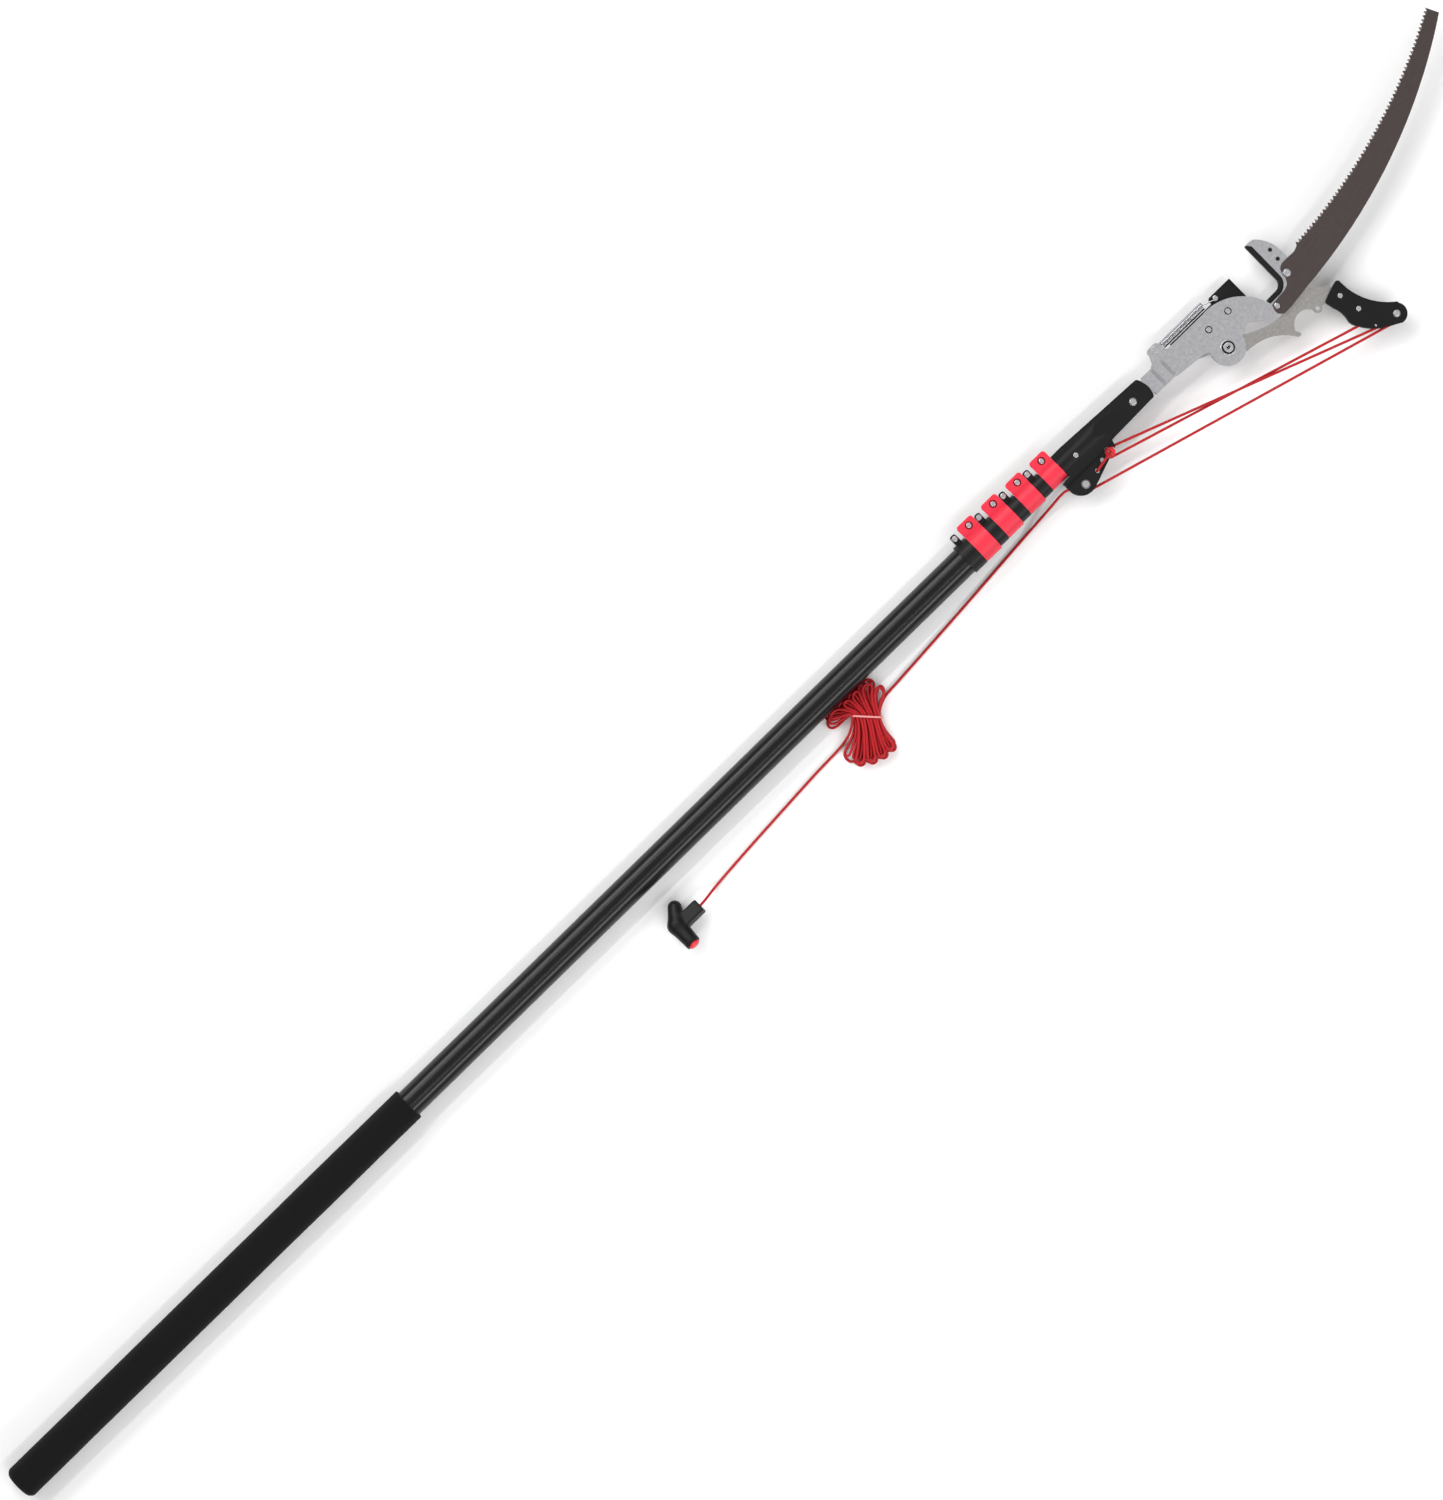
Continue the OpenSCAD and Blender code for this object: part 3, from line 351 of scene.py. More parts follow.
def rope(name, path, thick, finish, steady=(0, 0, 1), sides=10):
    """Round rope or wire: a circle carried along a path, square to it. One way across is
    square to the path and to the steady direction, and the other is square to both. The
    texture runs half round the rope and back, and along it, in millimetres."""
    way = np.gradient(path, axis=0)
    way /= np.linalg.norm(way, axis=1)[:, None]
    across = np.cross(np.broadcast_to(steady, way.shape), way)
    across /= np.linalg.norm(across, axis=1)[:, None]
    up = np.cross(way, across)
    turn = np.linspace(0, 2 * np.pi, sides, endpoint=False)
    ring = (across[:, None, :] * np.cos(turn)[None, :, None]
            + up[:, None, :] * np.sin(turn)[None, :, None])
    run = np.concatenate([[0], np.cumsum(np.linalg.norm(np.diff(path, axis=0), axis=1))])
    half_turn = np.abs(turn / np.pi - 1)
    uv = np.stack(np.broadcast_arrays(half_turn[None, :] * np.pi * thick / 2, run[:, None]), axis=-1)
    return skin(name, (path[:, None, :] + thick / 2 * ring) * mm, finish, uv=uv)


def braid(name, light, dip_shade):
    """Braided cover: two families of strands cross on the rope's own texture, each a sine
    wave of along plus or minus round; their product gives the strands' height, and the colour is
    darkened in the dips between strands as painted shade."""
    wave_rate = 2.6
    cover = plain(name, light, 0.62, specular=0.35)
    nodes, links = cover.node_tree.nodes, cover.node_tree.links
    shader = nodes["Principled BSDF"]
    shader.inputs["Sheen Weight"].default_value = 0.06
    shader.inputs["Sheen Roughness"].default_value = 0.4
    place = nodes.new("ShaderNodeUVMap")
    place.uv_map = "UVMap"
    apart = nodes.new("ShaderNodeSeparateXYZ")
    links.new(place.outputs["UV"], apart.inputs[0])
    waves = []
    for sign in (1, -1):
        slant = nodes.new("ShaderNodeMath")
        slant.operation = "MULTIPLY_ADD"
        links.new(apart.outputs["X"], slant.inputs[0])
        slant.inputs[1].default_value = wave_rate * sign
        scaled = nodes.new("ShaderNodeMath")
        scaled.operation = "MULTIPLY"
        links.new(apart.outputs["Y"], scaled.inputs[0])
        scaled.inputs[1].default_value = wave_rate
        links.new(scaled.outputs[0], slant.inputs[2])
        wave = nodes.new("ShaderNodeMath")
        wave.operation = "SINE"
        links.new(slant.outputs[0], wave.inputs[0])
        waves.append(wave)
    weave = nodes.new("ShaderNodeMath")
    weave.operation = "MULTIPLY"
    links.new(waves[0].outputs[0], weave.inputs[0])
    links.new(waves[1].outputs[0], weave.inputs[1])
    # The mix puts painted shade in the dips of the weave: the low parts take the dark colour.
    shade = nodes.new("ShaderNodeMix")
    shade.data_type = "RGBA"
    share = nodes.new("ShaderNodeMapRange")
    share.inputs["From Min"].default_value = -1
    links.new(weave.outputs[0], share.inputs["Value"])
    links.new(share.outputs["Result"], shade.inputs["Factor"])
    shade.inputs["A"].default_value = dip_shade
    shade.inputs["B"].default_value = light
    links.new(shade.outputs["Result"], shader.inputs["Base Color"])
    bump = nodes.new("ShaderNodeBump")
    bump.inputs["Strength"].default_value = 0.5
    bump.inputs["Distance"].default_value = 0.3 * mm
    links.new(share.outputs["Result"], bump.inputs["Height"])
    links.new(bump.outputs["Normal"], shader.inputs["Normal"])
    return cover


# The dark second colour is painted shade for the dips between the braid's strands.
rope_red = braid("rope_red", seen(216, 14, 28), seen(104, 5, 12))
leaves = np.array([*(sheave_at + sheave_pitch * np.array([cos(leaves_at), sin(leaves_at)])), 0])
hank_line = hank_path()
pull_line = np.vstack([through([leaves, *to_hank, hank_line[0]])[:-1], hank_line,
                       through([hank_line[-1], *to_handle])[1:]])
pull_line = even(pull_line, 1.2, 2.4) + head_origin
pull_rope = rope("pull_rope", pull_line, rope_thick, rope_red)
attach(pull_rope, "head")
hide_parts("rope_upper", "rope_hank", "rope_lower")

# ---- Hank tie ----
# Short end of pale pink twine. It is laid over the hank's waist, pulled down hard on both
# sides and tucked under the outer folds.

tie_half, tie_thick = 17.8, 2.2
tie_top = rope_low + hank_rise * (hank_layers - 1) + rope_thick / 2 + tie_thick / 2
tie_low = rope_low - rope_thick / 2 + tie_thick / 2
tie_bow = 0.45
arch = np.linspace(0, np.pi, 40)
tie_rise = np.sin(arch) ** tie_bow
tie_line = np.c_[(hank_at + hank_across * tie_half * np.sign(np.cos(arch))[:, None]
                  * np.abs(np.cos(arch))[:, None] ** tie_bow) + [mouth_x, 0],
                 tie_low + (tie_top - tie_low) * tie_rise]
# The dark second colour is painted shade for the dips between the twine's strands.
tie_pink = braid("tie_pink", seen(250, 178, 176), seen(214, 120, 122))
hank_tie = rope("hank_twine", even(tie_line, 0.8, 1.4), tie_thick, tie_pink,
                steady=(-hank_across[1], hank_across[0], 0))
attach(hank_tie, "head")
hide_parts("hank_tie")

# ---- Pull handle ----
# Small T handle of moulded black plastic with a smooth, swollen crossbar. The rope goes up
# its stem to a knot inside, and a red plug closes the end of one arm.

handle_at = np.array([mouth_x - 782, -68, -5.6])
handle_roll = radians(-20)
handle_blend = 3.5
stem_half, stem_round = np.array([16.5, 8.0, 6.5]), 1.8
plug_x, plug_face = -1.5, -26.4

# Each arm's two ends, and its radius at each.
handle_arms = [((-1, 2, 0), (11, 19, 0), 10.2, 7.9), ((-1, 2, 0), (plug_x, -30, 0), 10.2, 8.5)]


def arm_distance(p, start, end, start_r, end_r):
    """How far points lie outside a rounded arm: the distance to the nearest point of its
    middle line, less the radius there."""
    start, end = np.array(start, float), np.array(end, float)
    line = end - start
    share = np.clip(((p - start) @ line) / (line @ line), 0, 1)
    return np.linalg.norm(p - start - share[..., None] * line, axis=-1) - (
        start_r + (end_r - start_r) * share)


def stem_distance(p):
    """How far points lie outside the square stem: the distance to a smaller block inside
    it, less the radius of its edges."""
    out = np.abs(p - [stem_half[0], 0, 0]) - stem_half + stem_round
    return np.linalg.norm(np.maximum(out, 0), axis=-1) + np.minimum(out.max(-1), 0) - stem_round


def handle_distance(p):
    """The two arms and the stem melted into one: minus the log of the sum of their falling
    powers. The plugged arm is then cut off square."""
    near = np.stack([arm_distance(p, *arm) for arm in handle_arms] + [stem_distance(p)])
    soft = handle_blend / 3
    body = -soft * np.log(np.exp(-near / soft).sum(0))
    return np.maximum(body, plug_face - p[..., 1])


def handle_skin():
    """Points where rays from the handle's middle meet its surface. The rays' angles are
    spaced evenly over a ball, and each distance is found by halving twenty times."""
    turn = np.linspace(0, 2 * np.pi, 144, endpoint=False)[None, :]
    tip = np.linspace(0, np.pi, 132)[:, None].clip(0.002, np.pi - 0.002)
    ray = np.stack(np.broadcast_arrays(np.cos(tip), np.sin(tip) * np.cos(turn),
                                       np.sin(tip) * np.sin(turn)), axis=-1)
    middle, farthest = np.array([-0.5, 1.5, 0]), 45.0
    low, high = np.zeros(ray.shape[:2]), np.full(ray.shape[:2], farthest)
    for _ in range(20):
        half = (low + high) / 2
        inside = handle_distance(middle + ray * half[..., None]) < 0
        low, high = np.where(inside, half, low), np.where(inside, high, half)
    return middle + ray * low[..., None]


def at_handle(p):
    """Points of the handle rolled about the rope's line and moved to where it lies."""
    y = p[..., 1] * cos(handle_roll) - p[..., 2] * sin(handle_roll)
    z = p[..., 1] * sin(handle_roll) + p[..., 2] * cos(handle_roll)
    return (np.stack([p[..., 0], y, z], axis=-1) + handle_at) * mm


def turned(profile, sides=48):
    """Profile of distances along and radii, turned about its own line."""
    along, radius = np.array(profile, float).T
    turn = np.linspace(0, 2 * np.pi, sides, endpoint=False)[None, :]
    return np.stack(np.broadcast_arrays(along[:, None], radius[:, None] * np.cos(turn),
                                        radius[:, None] * np.sin(turn)), axis=-1)


def mottled(finish, size, depth, colour=None, stretch=(1, 1, 1)):
    """Adds a fine grain to a finish: noise on the piece's own place, stretched along one
    way if it was drawn or brushed, lifts the surface, and shades between two colours."""
    nodes, links = finish.node_tree.nodes, finish.node_tree.links
    shader = nodes["Principled BSDF"]
    place = nodes.new("ShaderNodeTexCoord")
    mapping = nodes.new("ShaderNodeMapping")
    mapping.inputs["Scale"].default_value = stretch
    links.new(place.outputs["Object"], mapping.inputs["Vector"])
    noise = nodes.new("ShaderNodeTexNoise")
    noise.inputs["Scale"].default_value = 1 / (size * mm)
    noise.inputs["Detail"].default_value = 4
    links.new(mapping.outputs["Vector"], noise.inputs["Vector"])
    bump = nodes.new("ShaderNodeBump")
    bump.inputs["Strength"].default_value = 0.5
    bump.inputs["Distance"].default_value = depth * mm
    links.new(noise.outputs["Fac"], bump.inputs["Height"])
    links.new(bump.outputs["Normal"], shader.inputs["Normal"])
    if colour is not None:
        mix = nodes.new("ShaderNodeMix")
        mix.data_type = "RGBA"
        mix.inputs["A"].default_value = shader.inputs["Base Color"].default_value
        mix.inputs["B"].default_value = colour
        links.new(noise.outputs["Fac"], mix.inputs["Factor"])
        links.new(mix.outputs["Result"], shader.inputs["Base Color"])
    return finish


moulded_black = mottled(plain("moulded_black", seen(8, 8, 9), 0.42, specular=0.2), 0.9, 0.04,
                        seen(20, 20, 22))
red_cap = mottled(plain("red_cap", seen(205, 28, 40), 0.42), 0.9, 0.03, seen(220, 40, 50))
handle = skin("pull_handle", at_handle(handle_skin()), moulded_black)
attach(handle, "head")
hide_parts("handle_body")

plug_profile = [(0, 6.4), (1.4, 6.4), (2.3, 6.0), (2.9, 5.1), (3.2, 3.8), (3.3, 2.0), (3.3, 0.01)]
plug = turned(plug_profile)[..., [1, 0, 2]] * [1, -1, 1] + [plug_x, plug_face, 0]
plug = skin("handle_plug", at_handle(plug), red_cap)
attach(plug, "head")
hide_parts("handle_plugs")

screw_at = (-0.5, 3.4, 9.6)
screw_profile = [(0, 2.3), (0.5, 2.3), (0.9, 1.9), (1.1, 1.1), (0.8, 0.9), (0.8, 0.01)]
bright_zinc = mottled(plain("bright_zinc", seen(206, 206, 209), 0.2, metallic=1.0), 2.0, 0.03,
                      seen(226, 226, 228))
screw = turned(screw_profile, 24)[..., [1, 2, 0]] + screw_at
screw = skin("handle_screw", at_handle(screw), bright_zinc)
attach(screw, "head")

# ---- Foam grip ----
# Closed-cell foam sleeve, pulled over the thick end of the pole and glued. Its rear edge is
# softly rounded and its front edge is cut square.

grip_low, grip_high = (np.array(end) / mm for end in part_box("grip"))
grip_r = (grip_high[1] - grip_low[1]) / 2
pole_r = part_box("outer_tube")[1].y / mm
grip_from, grip_to = grip_low[0], grip_high[0]
rear_round, front_round = 6.0, 1.5


def sleeve():
    """Foam sleeve turned about the pole. From the pole's own radius the outside rises on a
    quarter round, runs on with swells of a few hundredths, the sum of two sine waves of the
    place along, and drops on a small round at the front to the pole's radius again."""
    quarter = np.linspace(-np.pi / 2, 0, 9)
    rear = np.c_[grip_from + rear_round * (1 + np.sin(quarter)),
                 grip_r - rear_round * (1 - np.cos(quarter))]
    quarter = np.linspace(0, np.pi / 2, 6)
    front = np.c_[grip_to - front_round * (1 - np.sin(quarter)),
                  grip_r - front_round * (1 - np.cos(quarter))]
    along = np.linspace(grip_from + rear_round, grip_to - front_round, 130)[1:-1]
    swell = 0.06 * (np.sin(along / 23) + np.sin(along / 37 + 1)) - 0.12
    body = np.c_[along, grip_r + swell]
    outline = np.vstack([[(grip_from, pole_r)], rear, body, front, [(grip_to, pole_r)]])
    return turned(outline, 72)


def foam():
    """Matt foam skin: fine open grain in the surface and a faint paler bloom over it."""
    finish = mottled(plain("grip_foam", seen(10, 10, 11), 0.9, specular=0.1), 0.8, 0.2,
                     seen(24, 24, 26))
    finish.node_tree.nodes["Principled BSDF"].inputs["Sheen Weight"].default_value = 0.05
    return finish


foam_black = foam()
grip = skin("foam_grip", sleeve() * mm, foam_black, caps=False)
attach(grip, frame["nodes"]["grip"]["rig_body"])
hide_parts("grip")

# ---- Pole sections ----
# Five round aluminium tubes that slide in each other, coated gloss black. Each inner tube
# has a nylon plug at its rear, and the thick end is closed by a moulded cap.


def dress(finish, *names):
    """Puts a finish on pieces that keep the shape they were drawn with."""
    for name in names:
        piece = frame["nodes"][name]
        for place in piece.material_slots:
            place.material = finish


lacquer = mottled(plain("lacquer_black", seen(6, 6, 7), 0.3, coat=0.15, coat_roughness=0.1,
                        specular=0.22), 9.0, 0.004, seen(14, 14, 16), stretch=(0.05, 1, 1))
dress(lacquer, "outer_tube", "tube_2", "tube_3", "tube_4", "tube_5")
nylon = mottled(plain("nylon_grey", seen(52, 52, 55), 0.5), 1.2, 0.05)
dress(nylon, *(f"slide_plug_{k}" for k in (2, 3, 4, 5)))
dress(moulded_black, "butt_plug")

# ---- Locks ----
# Each tube ends in a split clamp collar of black nylon, with a screw through its ear. A red
# over-centre lever wraps the collar's nose and squeezes it on to the next tube.

edge_angle, crease_angle = radians(40), radians(35)
flat_angle, merge_gap = radians(0.6), 0.002 * mm


def eased(node, width, finish):
    """Copy of a drawn piece with its sharp edges broken, as every moulded or deburred edge
    is. Matching points are merged and flat neighbours joined first; the copy stands for the
    piece and moves with it."""
    drawn = frame["nodes"][node]
    points = np.empty(len(drawn.data.vertices) * 3)
    drawn.data.vertices.foreach_get("co", points)
    corners = np.empty(len(drawn.data.loops), dtype=np.int64)
    drawn.data.loops.foreach_get("vertex_index", corners)
    mesh = bpy.data.meshes.new(node + "_eased")
    mesh.from_pydata(points.reshape(-1, 3).tolist(), [], corners.reshape(-1, 3).tolist())
    work = bmesh.new()
    work.from_mesh(mesh)
    bmesh.ops.remove_doubles(work, verts=work.verts, dist=merge_gap)
    bmesh.ops.dissolve_limit(work, angle_limit=flat_angle, verts=work.verts, edges=work.edges)
    work.to_mesh(mesh)
    work.free()
    mesh.polygons.foreach_set("use_smooth", [True] * len(mesh.polygons))
    mesh.set_sharp_from_angle(angle=crease_angle)
    mesh.materials.append(finish)
    piece = bpy.data.objects.new(node + "_eased", mesh)
    bpy.context.scene.collection.objects.link(piece)
    round_over = piece.modifiers.new("round_over", "BEVEL")
    round_over.limit_method = "ANGLE"
    round_over.angle_limit = edge_angle
    round_over.width = width * mm
    round_over.segments = 2
    round_over.harden_normals = True
    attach(piece, drawn["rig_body"])
    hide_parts(node)


lever_red = mottled(plain("lever_red", seen(214, 34, 56), 0.45, specular=0.3), 1.0, 0.03,
                    seen(228, 50, 72))
for k in (1, 2, 3, 4):
    eased(f"collar_{k}", 0.45, moulded_black)
    eased(f"flip_lever_{k}", 0.4, lever_red)
    eased(f"lock_hardware_{k}", 0.2, bright_zinc)

# ---- Adapter ----
# Two mirrored shells of glass-filled nylon, bolted round the end of the last tube and round
# the head's stem. Their cheeks carry the lower rope sheave.

adapter_black = mottled(plain("adapter_black", seen(9, 9, 10), 0.48, specular=0.2), 0.7, 0.08,
                        seen(20, 20, 22))
eased("adapter_top_shell", 0.9, adapter_black)
eased("adapter_bottom_shell", 0.9, adapter_black)
eased("adapter_fasteners", 0.3, bright_zinc)
eased("sheave_axle", 0.3, bright_zinc)
dress(bright_zinc, "lower_sheave")
dress(red_cap, "turning_ring")

# ---- Head plates ----
# Two stamped steel side plates, nickel plated and tumbled to a satin grain, bolted through
# a cast filler in the stem. Everything else on the head is mounted between them.

satin_plate = mottled(plain("satin_plate", seen(172, 172, 177), 0.3, metallic=1.0), 3.5, 0.12,
                      seen(224, 224, 227))
cast_core = mottled(plain("cast_core", seen(150, 150, 154), 0.5, metallic=1.0), 1.0, 0.12)
eased("top_plate", 0.5, satin_plate)
eased("bottom_plate", 0.5, satin_plate)
dress(cast_core, "stem_core")
eased("guide_bolts", 0.25, bright_zinc)
eased("pivot_bolt", 0.35, bright_zinc)
eased("spring_screw", 0.3, bright_zinc)
eased("spring_post", 0.3, bright_zinc)

# ---- Bolt shadow rings ----
# Thin black rings round the pivot and guide bolts are painted shadow: they stand for the shade
# that falls round each bolt head, and a black disc in the pivot's socket is painted shade in the
# hole.

# Black for the painted shadow rings and the painted shade in the pivot's socket.
shadow_ring_black = plain("shadow_ring_black", seen(14, 14, 15), 0.7, specular=0.2)


def shadow_ring(name, at, inner, outer, low, high):
    """Black ring of painted shadow with a sloped top edge, turned about an upright line at a point
    on the head.
    """
    slope = 0.3 * (outer - inner)
    outline = [(low, inner), (low, outer), (high - slope, outer), (high, outer - slope),
               (high, inner + slope), (high - slope, inner), (low, inner)]
    grid = turned(outline, 40)[..., [1, 2, 0]] + [*at, 0] + head_origin
    piece = skin(name, grid * mm, shadow_ring_black, caps=False)
    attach(piece, "head")


plate_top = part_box("saw_blade")[0].z / mm
pivot = np.array([95.0, -35.0])
shadow_ring("pivot_shadow_ring", pivot, 5.4, 7.4, plate_top + 1.25, plate_top + 2.0)
# Black disc of painted shade over the pivot bolt's socket.
shadow_ring("pivot_socket_shade", pivot, 0.05, 2.3, plate_top + 2.15, plate_top + 2.5)
for number, guide in ((1, (122.7, -6)), (2, (93.3, -6))):
    shadow_ring(f"guide_shadow_ring_{number}", guide, 2.8, 4.1, plate_top - 0.05, plate_top + 0.45)

# ---- Anvil and cutter ----
# The anvil is a bent strip of blackened steel, riveted between the plates. The cutter is a
# hardened blade, blackened too, that slides along the pole towards it.

blackened = mottled(plain("blackened_steel", seen(16, 16, 17), 0.4, metallic=0.3, specular=0.3),
                    1.4, 0.03, seen(30, 29, 29))
eased("anvil", 0.4, blackened)
eased("cutter", 0.3, blackened)
dress(blackened, "anvil_rivets")

# ---- Return spring ----
# Close-coiled extension spring of bright wire. One eye is held by a screw on the plate's
# tab and the other hooks over a post on the cutter, so it pulls the cutter back open.

coil_from, coil_to, coil_y = 45.0, 107.5, 17.6
wire, coil_r = 1.4, 4.1
screw_eye, post_eye = (36, 19.5, 0), (123, 13.6, 1)
eye_r = 2.75
spring_wire = plain("spring_wire", seen(190, 190, 194), 0.24, metallic=1.0)


def coil_line(turns, per_turn=18):
    """Helix about a line along the pole: the place along grows evenly with the turn."""
    turn = np.linspace(0, 2 * np.pi * turns, int(turns * per_turn) + 1)
    along = np.linspace(coil_from + wire / 2, coil_to - wire / 2, len(turn))
    return np.stack([along, coil_y + coil_r * np.cos(turn), coil_r * np.sin(turn)], axis=-1)


def hook_line(x, eye):
    """End of the wire: it crosses the coil's end, runs out along its middle and goes round
    the eye for most of a circle."""
    out = np.sign(eye[0] - x)
    around = np.linspace(0, radians(300), 22)
    ring = np.stack([eye[0] - out * eye_r * np.cos(around), eye[1] - eye_r * np.sin(around),
                     np.full_like(around, eye[2])], axis=-1)
    lead = [(x, coil_y + coil_r, 0), (x + out * 0.2, coil_y + 2.0, 0),
            (x + out * 1.2, coil_y + 0.3, 0)]
    return even(np.vstack([through([*lead, ring[0]], 8)[:-1], ring]), 0.4, 0.6)


coil_pitch = wire * 1.03
coil_turns = round((coil_to - coil_from) / coil_pitch)
coil = rope("spring_coil", coil_line(coil_turns) + head_origin, wire, spring_wire,
            steady=(1, 0, 0), sides=8)
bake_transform(coil)
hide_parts("return_spring")
for name, x, eye, body in (("spring_hook_front", coil_to - 0.4, post_eye, "cutter"),
                           ("spring_hook_rear", coil_from + 0.4, screw_eye, "head")):
    hook = rope(name, hook_line(x, eye) + head_origin, wire, spring_wire, sides=8)
    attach(hook, body)

# ---- Saw blade ----
# Curved pull-saw blade, punched from 1.4 mm carbon steel and left dark. Its teeth are
# ground to a point, one to the top face and the next to the bottom, so the cut is wide.

teeth_count, tooth_depth = 64, 3.4
gullet_share, grind = 0.42, 0.15
blade_low, blade_high = (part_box("saw_blade")[i].z / mm for i in (0, 1))


def bow(a, b, c, count):
    """Points along the circle through three points, from the first to the last."""
    a, b, c = (np.array(p, float) for p in (a, b, c))
    d = 2 * (a[0] * (b[1] - c[1]) + b[0] * (c[1] - a[1]) + c[0] * (a[1] - b[1]))
    aa, bb, cc = (p @ p for p in (a, b, c))
    middle = np.array([aa * (b[1] - c[1]) + bb * (c[1] - a[1]) + cc * (a[1] - b[1]),
                       aa * (c[0] - b[0]) + bb * (a[0] - c[0]) + cc * (b[0] - a[0])]) / d
    first, last = (atan2(*(p - middle)[::-1]) for p in (a, c))
    left = np.cross(np.append(b - a, 0), np.append(c - b, 0))[2] > 0
    sweep = (last - first) % (2 * np.pi) if left else -((first - last) % (2 * np.pi))
    angle = first + sweep * np.linspace(0, 1, count + 1)
    return middle + np.hypot(*(a - middle)) * np.stack([np.cos(angle), np.sin(angle)], axis=-1)


tips = bow((229, -3.5), (378, 24.4), (510.5, 81.4), teeth_count)
ahead = np.gradient(tips, axis=0)
ahead /= np.linalg.norm(ahead, axis=1)[:, None]
inward = np.stack([ahead[:, 1], -ahead[:, 0]], axis=-1)
gullets = tips[:-1] + gullet_share * np.diff(tips, axis=0) + inward[:-1] * tooth_depth
spine = bow((203.4, -47.7), (374.2, -8.5), (518, 66.4), 24)
heel = np.vstack([[(176, -51.2)], bow((166, -51.4), (160.6, -47), (160.4, -40), 5),
                  bow((162, -35.4), (173, -34), (182.5, -33.4), 4),
                  bow((189, -31), (193.2, -25), (194, -18), 4),
                  bow((196, -13.5), (199.5, -10.6), (204, -9.8), 3), [(221, -9.9), (227, -7.3)]])


def saw_faces():
    """The blade without its teeth is one flat outline at two heights, joined by a wall. Each
    tooth is a wedge on the wall between two gullets, and its tip is one point, at the top
    face on even teeth and at the bottom face on odd ones."""
    outline = np.vstack([heel[-1:], gullets, spine[::-1], heel[:-1]])
    count, tooth = len(outline), len(gullets)
    top = np.c_[outline, np.full(count, blade_high)]
    bottom = np.c_[outline, np.full(count, blade_low)]
    tip_z = np.where(np.arange(tooth + 1) % 2, blade_low + grind, blade_high - grind)
    points = np.vstack([top, bottom, np.c_[tips, tip_z]])
    here = np.arange(count)
    after = np.roll(here, -1)
    toothed = here <= tooth
    wall = np.stack([here, here + count, after + count, after], axis=-1)[~toothed]
    a, b, tip = here[toothed], after[toothed], 2 * count + here[toothed]
    wedges = np.vstack([np.stack(side, axis=-1) for side in (
        (a, tip, b), (a + count, b + count, tip), (a, a + count, tip), (b, tip, b + count))])
    faces = [here.tolist()[::-1], (here + count).tolist(), *wall.tolist(), *wedges.tolist()]
    return points, faces


def saw_steel():
    """Dark brushed steel: fine scratches along the blade and soft brown stains between them."""
    return mottled(plain("saw_steel", seen(96, 86, 84), 0.36, metallic=0.85), 0.8, 0.02,
                   seen(74, 66, 64), stretch=(0.06, 1, 1))


blade_points, blade_faces = saw_faces()
blade_mesh = bpy.data.meshes.new("saw_plate")
blade_mesh.from_pydata(((blade_points + head_origin) * mm).tolist(), [], blade_faces)
blade_work = bmesh.new()
blade_work.from_mesh(blade_mesh)
bmesh.ops.recalc_face_normals(blade_work, faces=blade_work.faces)
blade_work.to_mesh(blade_mesh)
blade_work.free()
blade_mesh.materials.append(saw_steel())
blade = bpy.data.objects.new("saw_plate", blade_mesh)
bpy.context.scene.collection.objects.link(blade)
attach(blade, "head")
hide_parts("saw_blade")
eased("saw_fasteners", 0.3, bright_zinc)

# ---- Pull lever ----
# Stamped steel lever with a hook at its heel, between the plates. Two moulded shells are
# riveted to its outer end and hold the sheave that the rope pulls on.

lever_grey = mottled(plain("lever_grey", seen(150, 147, 144), 0.34, metallic=1.0), 3.5, 0.1,
                     seen(194, 191, 188))
eased("pull_lever", 0.5, lever_grey)
eased("lever_top_shell", 0.9, moulded_black)
eased("lever_bottom_shell", 0.9, moulded_black)
eased("lever_rivets", 0.25, bright_zinc)
eased("end_axle", 0.3, bright_zinc)
dress(bright_zinc, "drive_pin", "end_sheave")

# ---- Rope tackle ----
# The same rope makes three lines between pole and lever: from its knot on the lever, round
# a turning ring lashed to the adapter, back round the lever's sheave, and down again to the
# lower sheave. Each straight line shortens as the lever is pulled in.

throw = radians(49.249)
end_sheave = np.array([253.3, -137.5])
end_pitch, end_z = 7.5, 2.0
ring_at, ring_pitch, ring_lift = np.array([-78.2, -26.8]), 5.3, 1.8
knot_at, knot_z = np.array([228.0, -134.0]), 2.4


def pulled(p):
    """Where a point of the lever is when the lever is pulled right in: turned clockwise
    about the pivot."""
    x, y = p - pivot
    return pivot + [x * cos(throw) + y * sin(throw), y * cos(throw) - x * sin(throw)]


def line_angle(far, near):
    """Angle of the way from a near point to a far one."""
    return atan2(far[1] - near[1], far[0] - near[0])


def round_at(middle, radius, angle):
    """Points on a circle, at one angle or at many."""
    return middle + radius * np.stack([np.cos(angle), np.sin(angle)], axis=-1)


def tackle_line(name, held, moving, held_z, moving_z, moved):
    """Straight rope from its held end to its moving end. The moved end, where the moving end
    goes when the lever is pulled in, is not used."""
    held, moving, moved = (np.array([*p, z]) for p, z in
                           ((held, held_z), (moving, moving_z), (moved, moving_z)))
    path = held + (moving - held) * np.linspace(0, 1, 60)[:, None]
    piece = rope(name, path + head_origin, rope_thick, rope_red)
    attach(piece, "head")
    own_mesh(piece)
    return piece


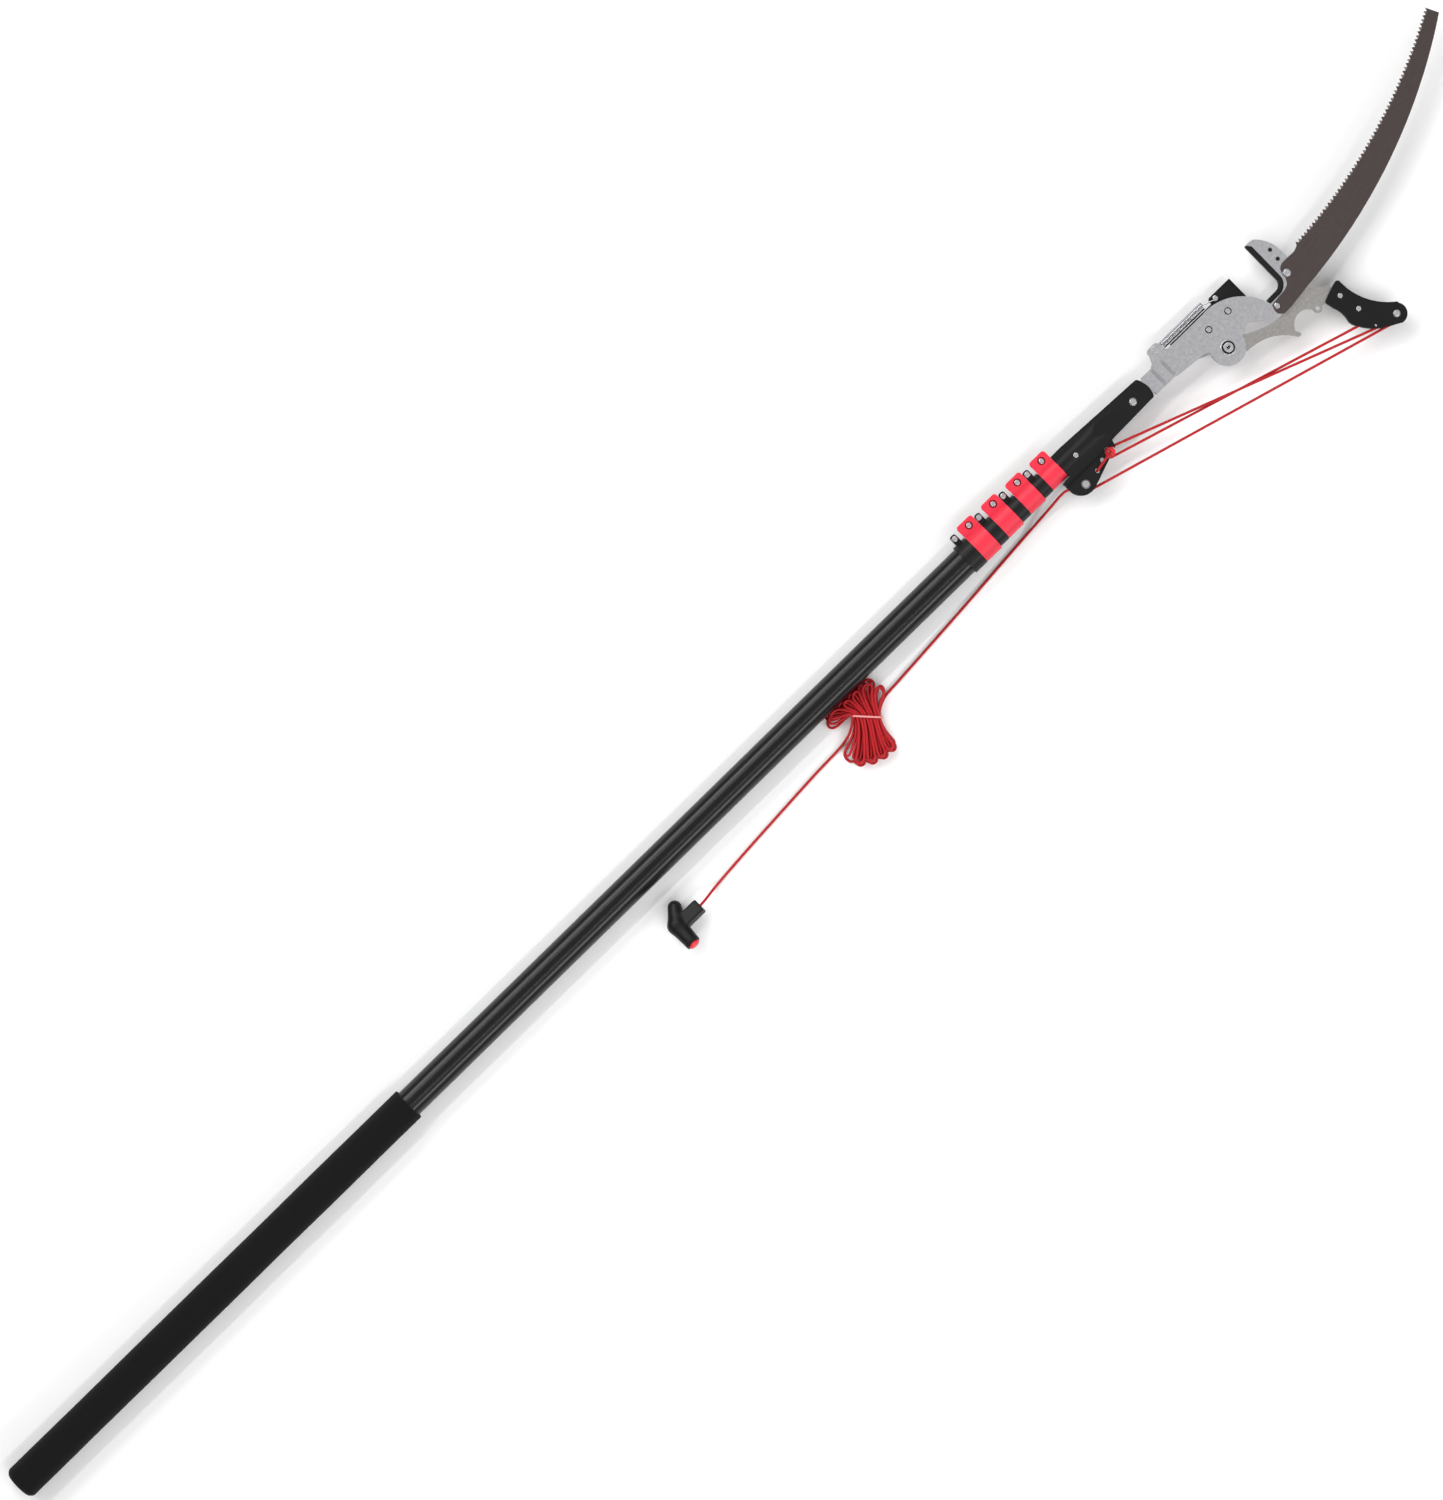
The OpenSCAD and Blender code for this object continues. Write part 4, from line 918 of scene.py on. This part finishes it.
quarter_turn = np.pi / 2
end_pulled = pulled(end_sheave)
rest_back, pulled_back = (line_angle(p, ring_at) for p in (end_sheave, end_pulled))
rest_pull, pulled_pull = (line_angle(p, sheave_at) for p in (end_sheave, end_pulled))
knot_line = tackle_line("tackle_knot_line", round_at(ring_at, ring_pitch, rest_back + quarter_turn),
                        knot_at, ring_lift, knot_z, pulled(knot_at))
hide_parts("tackle_rope")
tackle_line("tackle_back_line", round_at(ring_at, ring_pitch, rest_back - quarter_turn),
            round_at(end_sheave, end_pitch, rest_back + quarter_turn), -ring_lift, end_z,
            round_at(end_pulled, end_pitch, pulled_back + quarter_turn))
tackle_line("tackle_pull_line", round_at(sheave_at, sheave_pitch, rest_pull - quarter_turn),
            round_at(end_sheave, end_pitch, rest_pull - quarter_turn), 0, end_z,
            round_at(end_pulled, end_pitch, pulled_pull - quarter_turn))


def wrap(name, middle, radius, first, last, z_first, z_last, body):
    """Rope round a sheave or ring: part of a circle, climbing evenly from one height to
    another."""
    share = np.linspace(0, 1, 34)
    path = np.c_[round_at(middle, radius, first + (last - first) * share),
                 z_first + (z_last - z_first) * share]
    piece = rope(name, path + head_origin, rope_thick, rope_red)
    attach(piece, body)
    return piece


spare = radians(25)
wrap("ring_wrap", ring_at, ring_pitch, rest_back + quarter_turn - spare,
     rest_back + 3 * quarter_turn, ring_lift, -ring_lift, "head")
wrap("sheave_wrap", sheave_at, sheave_pitch, rest_pull - quarter_turn,
     leaves_at - 2 * np.pi, 0, 0, "head")
lever_wrap = wrap("lever_wrap", end_sheave, end_pitch, rest_back + quarter_turn + spare,
                  rest_pull - quarter_turn, end_z, end_z, "pull_lever")
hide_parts("lever_rope")

# ---- Ring lashing ----
# The turning ring hangs in a loop of the same rope, passed over and under the cheeks and
# through a hole in them, and pulled tight.

cheek_half = 6.5
lash_reach, lash_slant = 24.1, 0.19
over = cheek_half + rope_thick / 2
lash_half = [(0, 0), (0, 5.4), (-5, 7.8), (-12, over + 0.6), (-21.6, over + 0.3),
             (-lash_reach, cheek_half - 0.6), (-lash_reach, 0)]
lash = through(lash_half, 8)
lash = np.vstack([lash, (lash * [1, -1])[::-1][1:-1]])
lash_line = np.c_[ring_at + lash[:, :1] * [1, lash_slant], lash[:, 1]]
lashing = rope("lashing_loop", even(np.vstack([lash_line, lash_line[:1]]), 0.9, 1.0) + head_origin,
               rope_thick, rope_red, steady=(-lash_slant, 1, 0))
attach(lashing, "head")
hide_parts("ring_lashing")
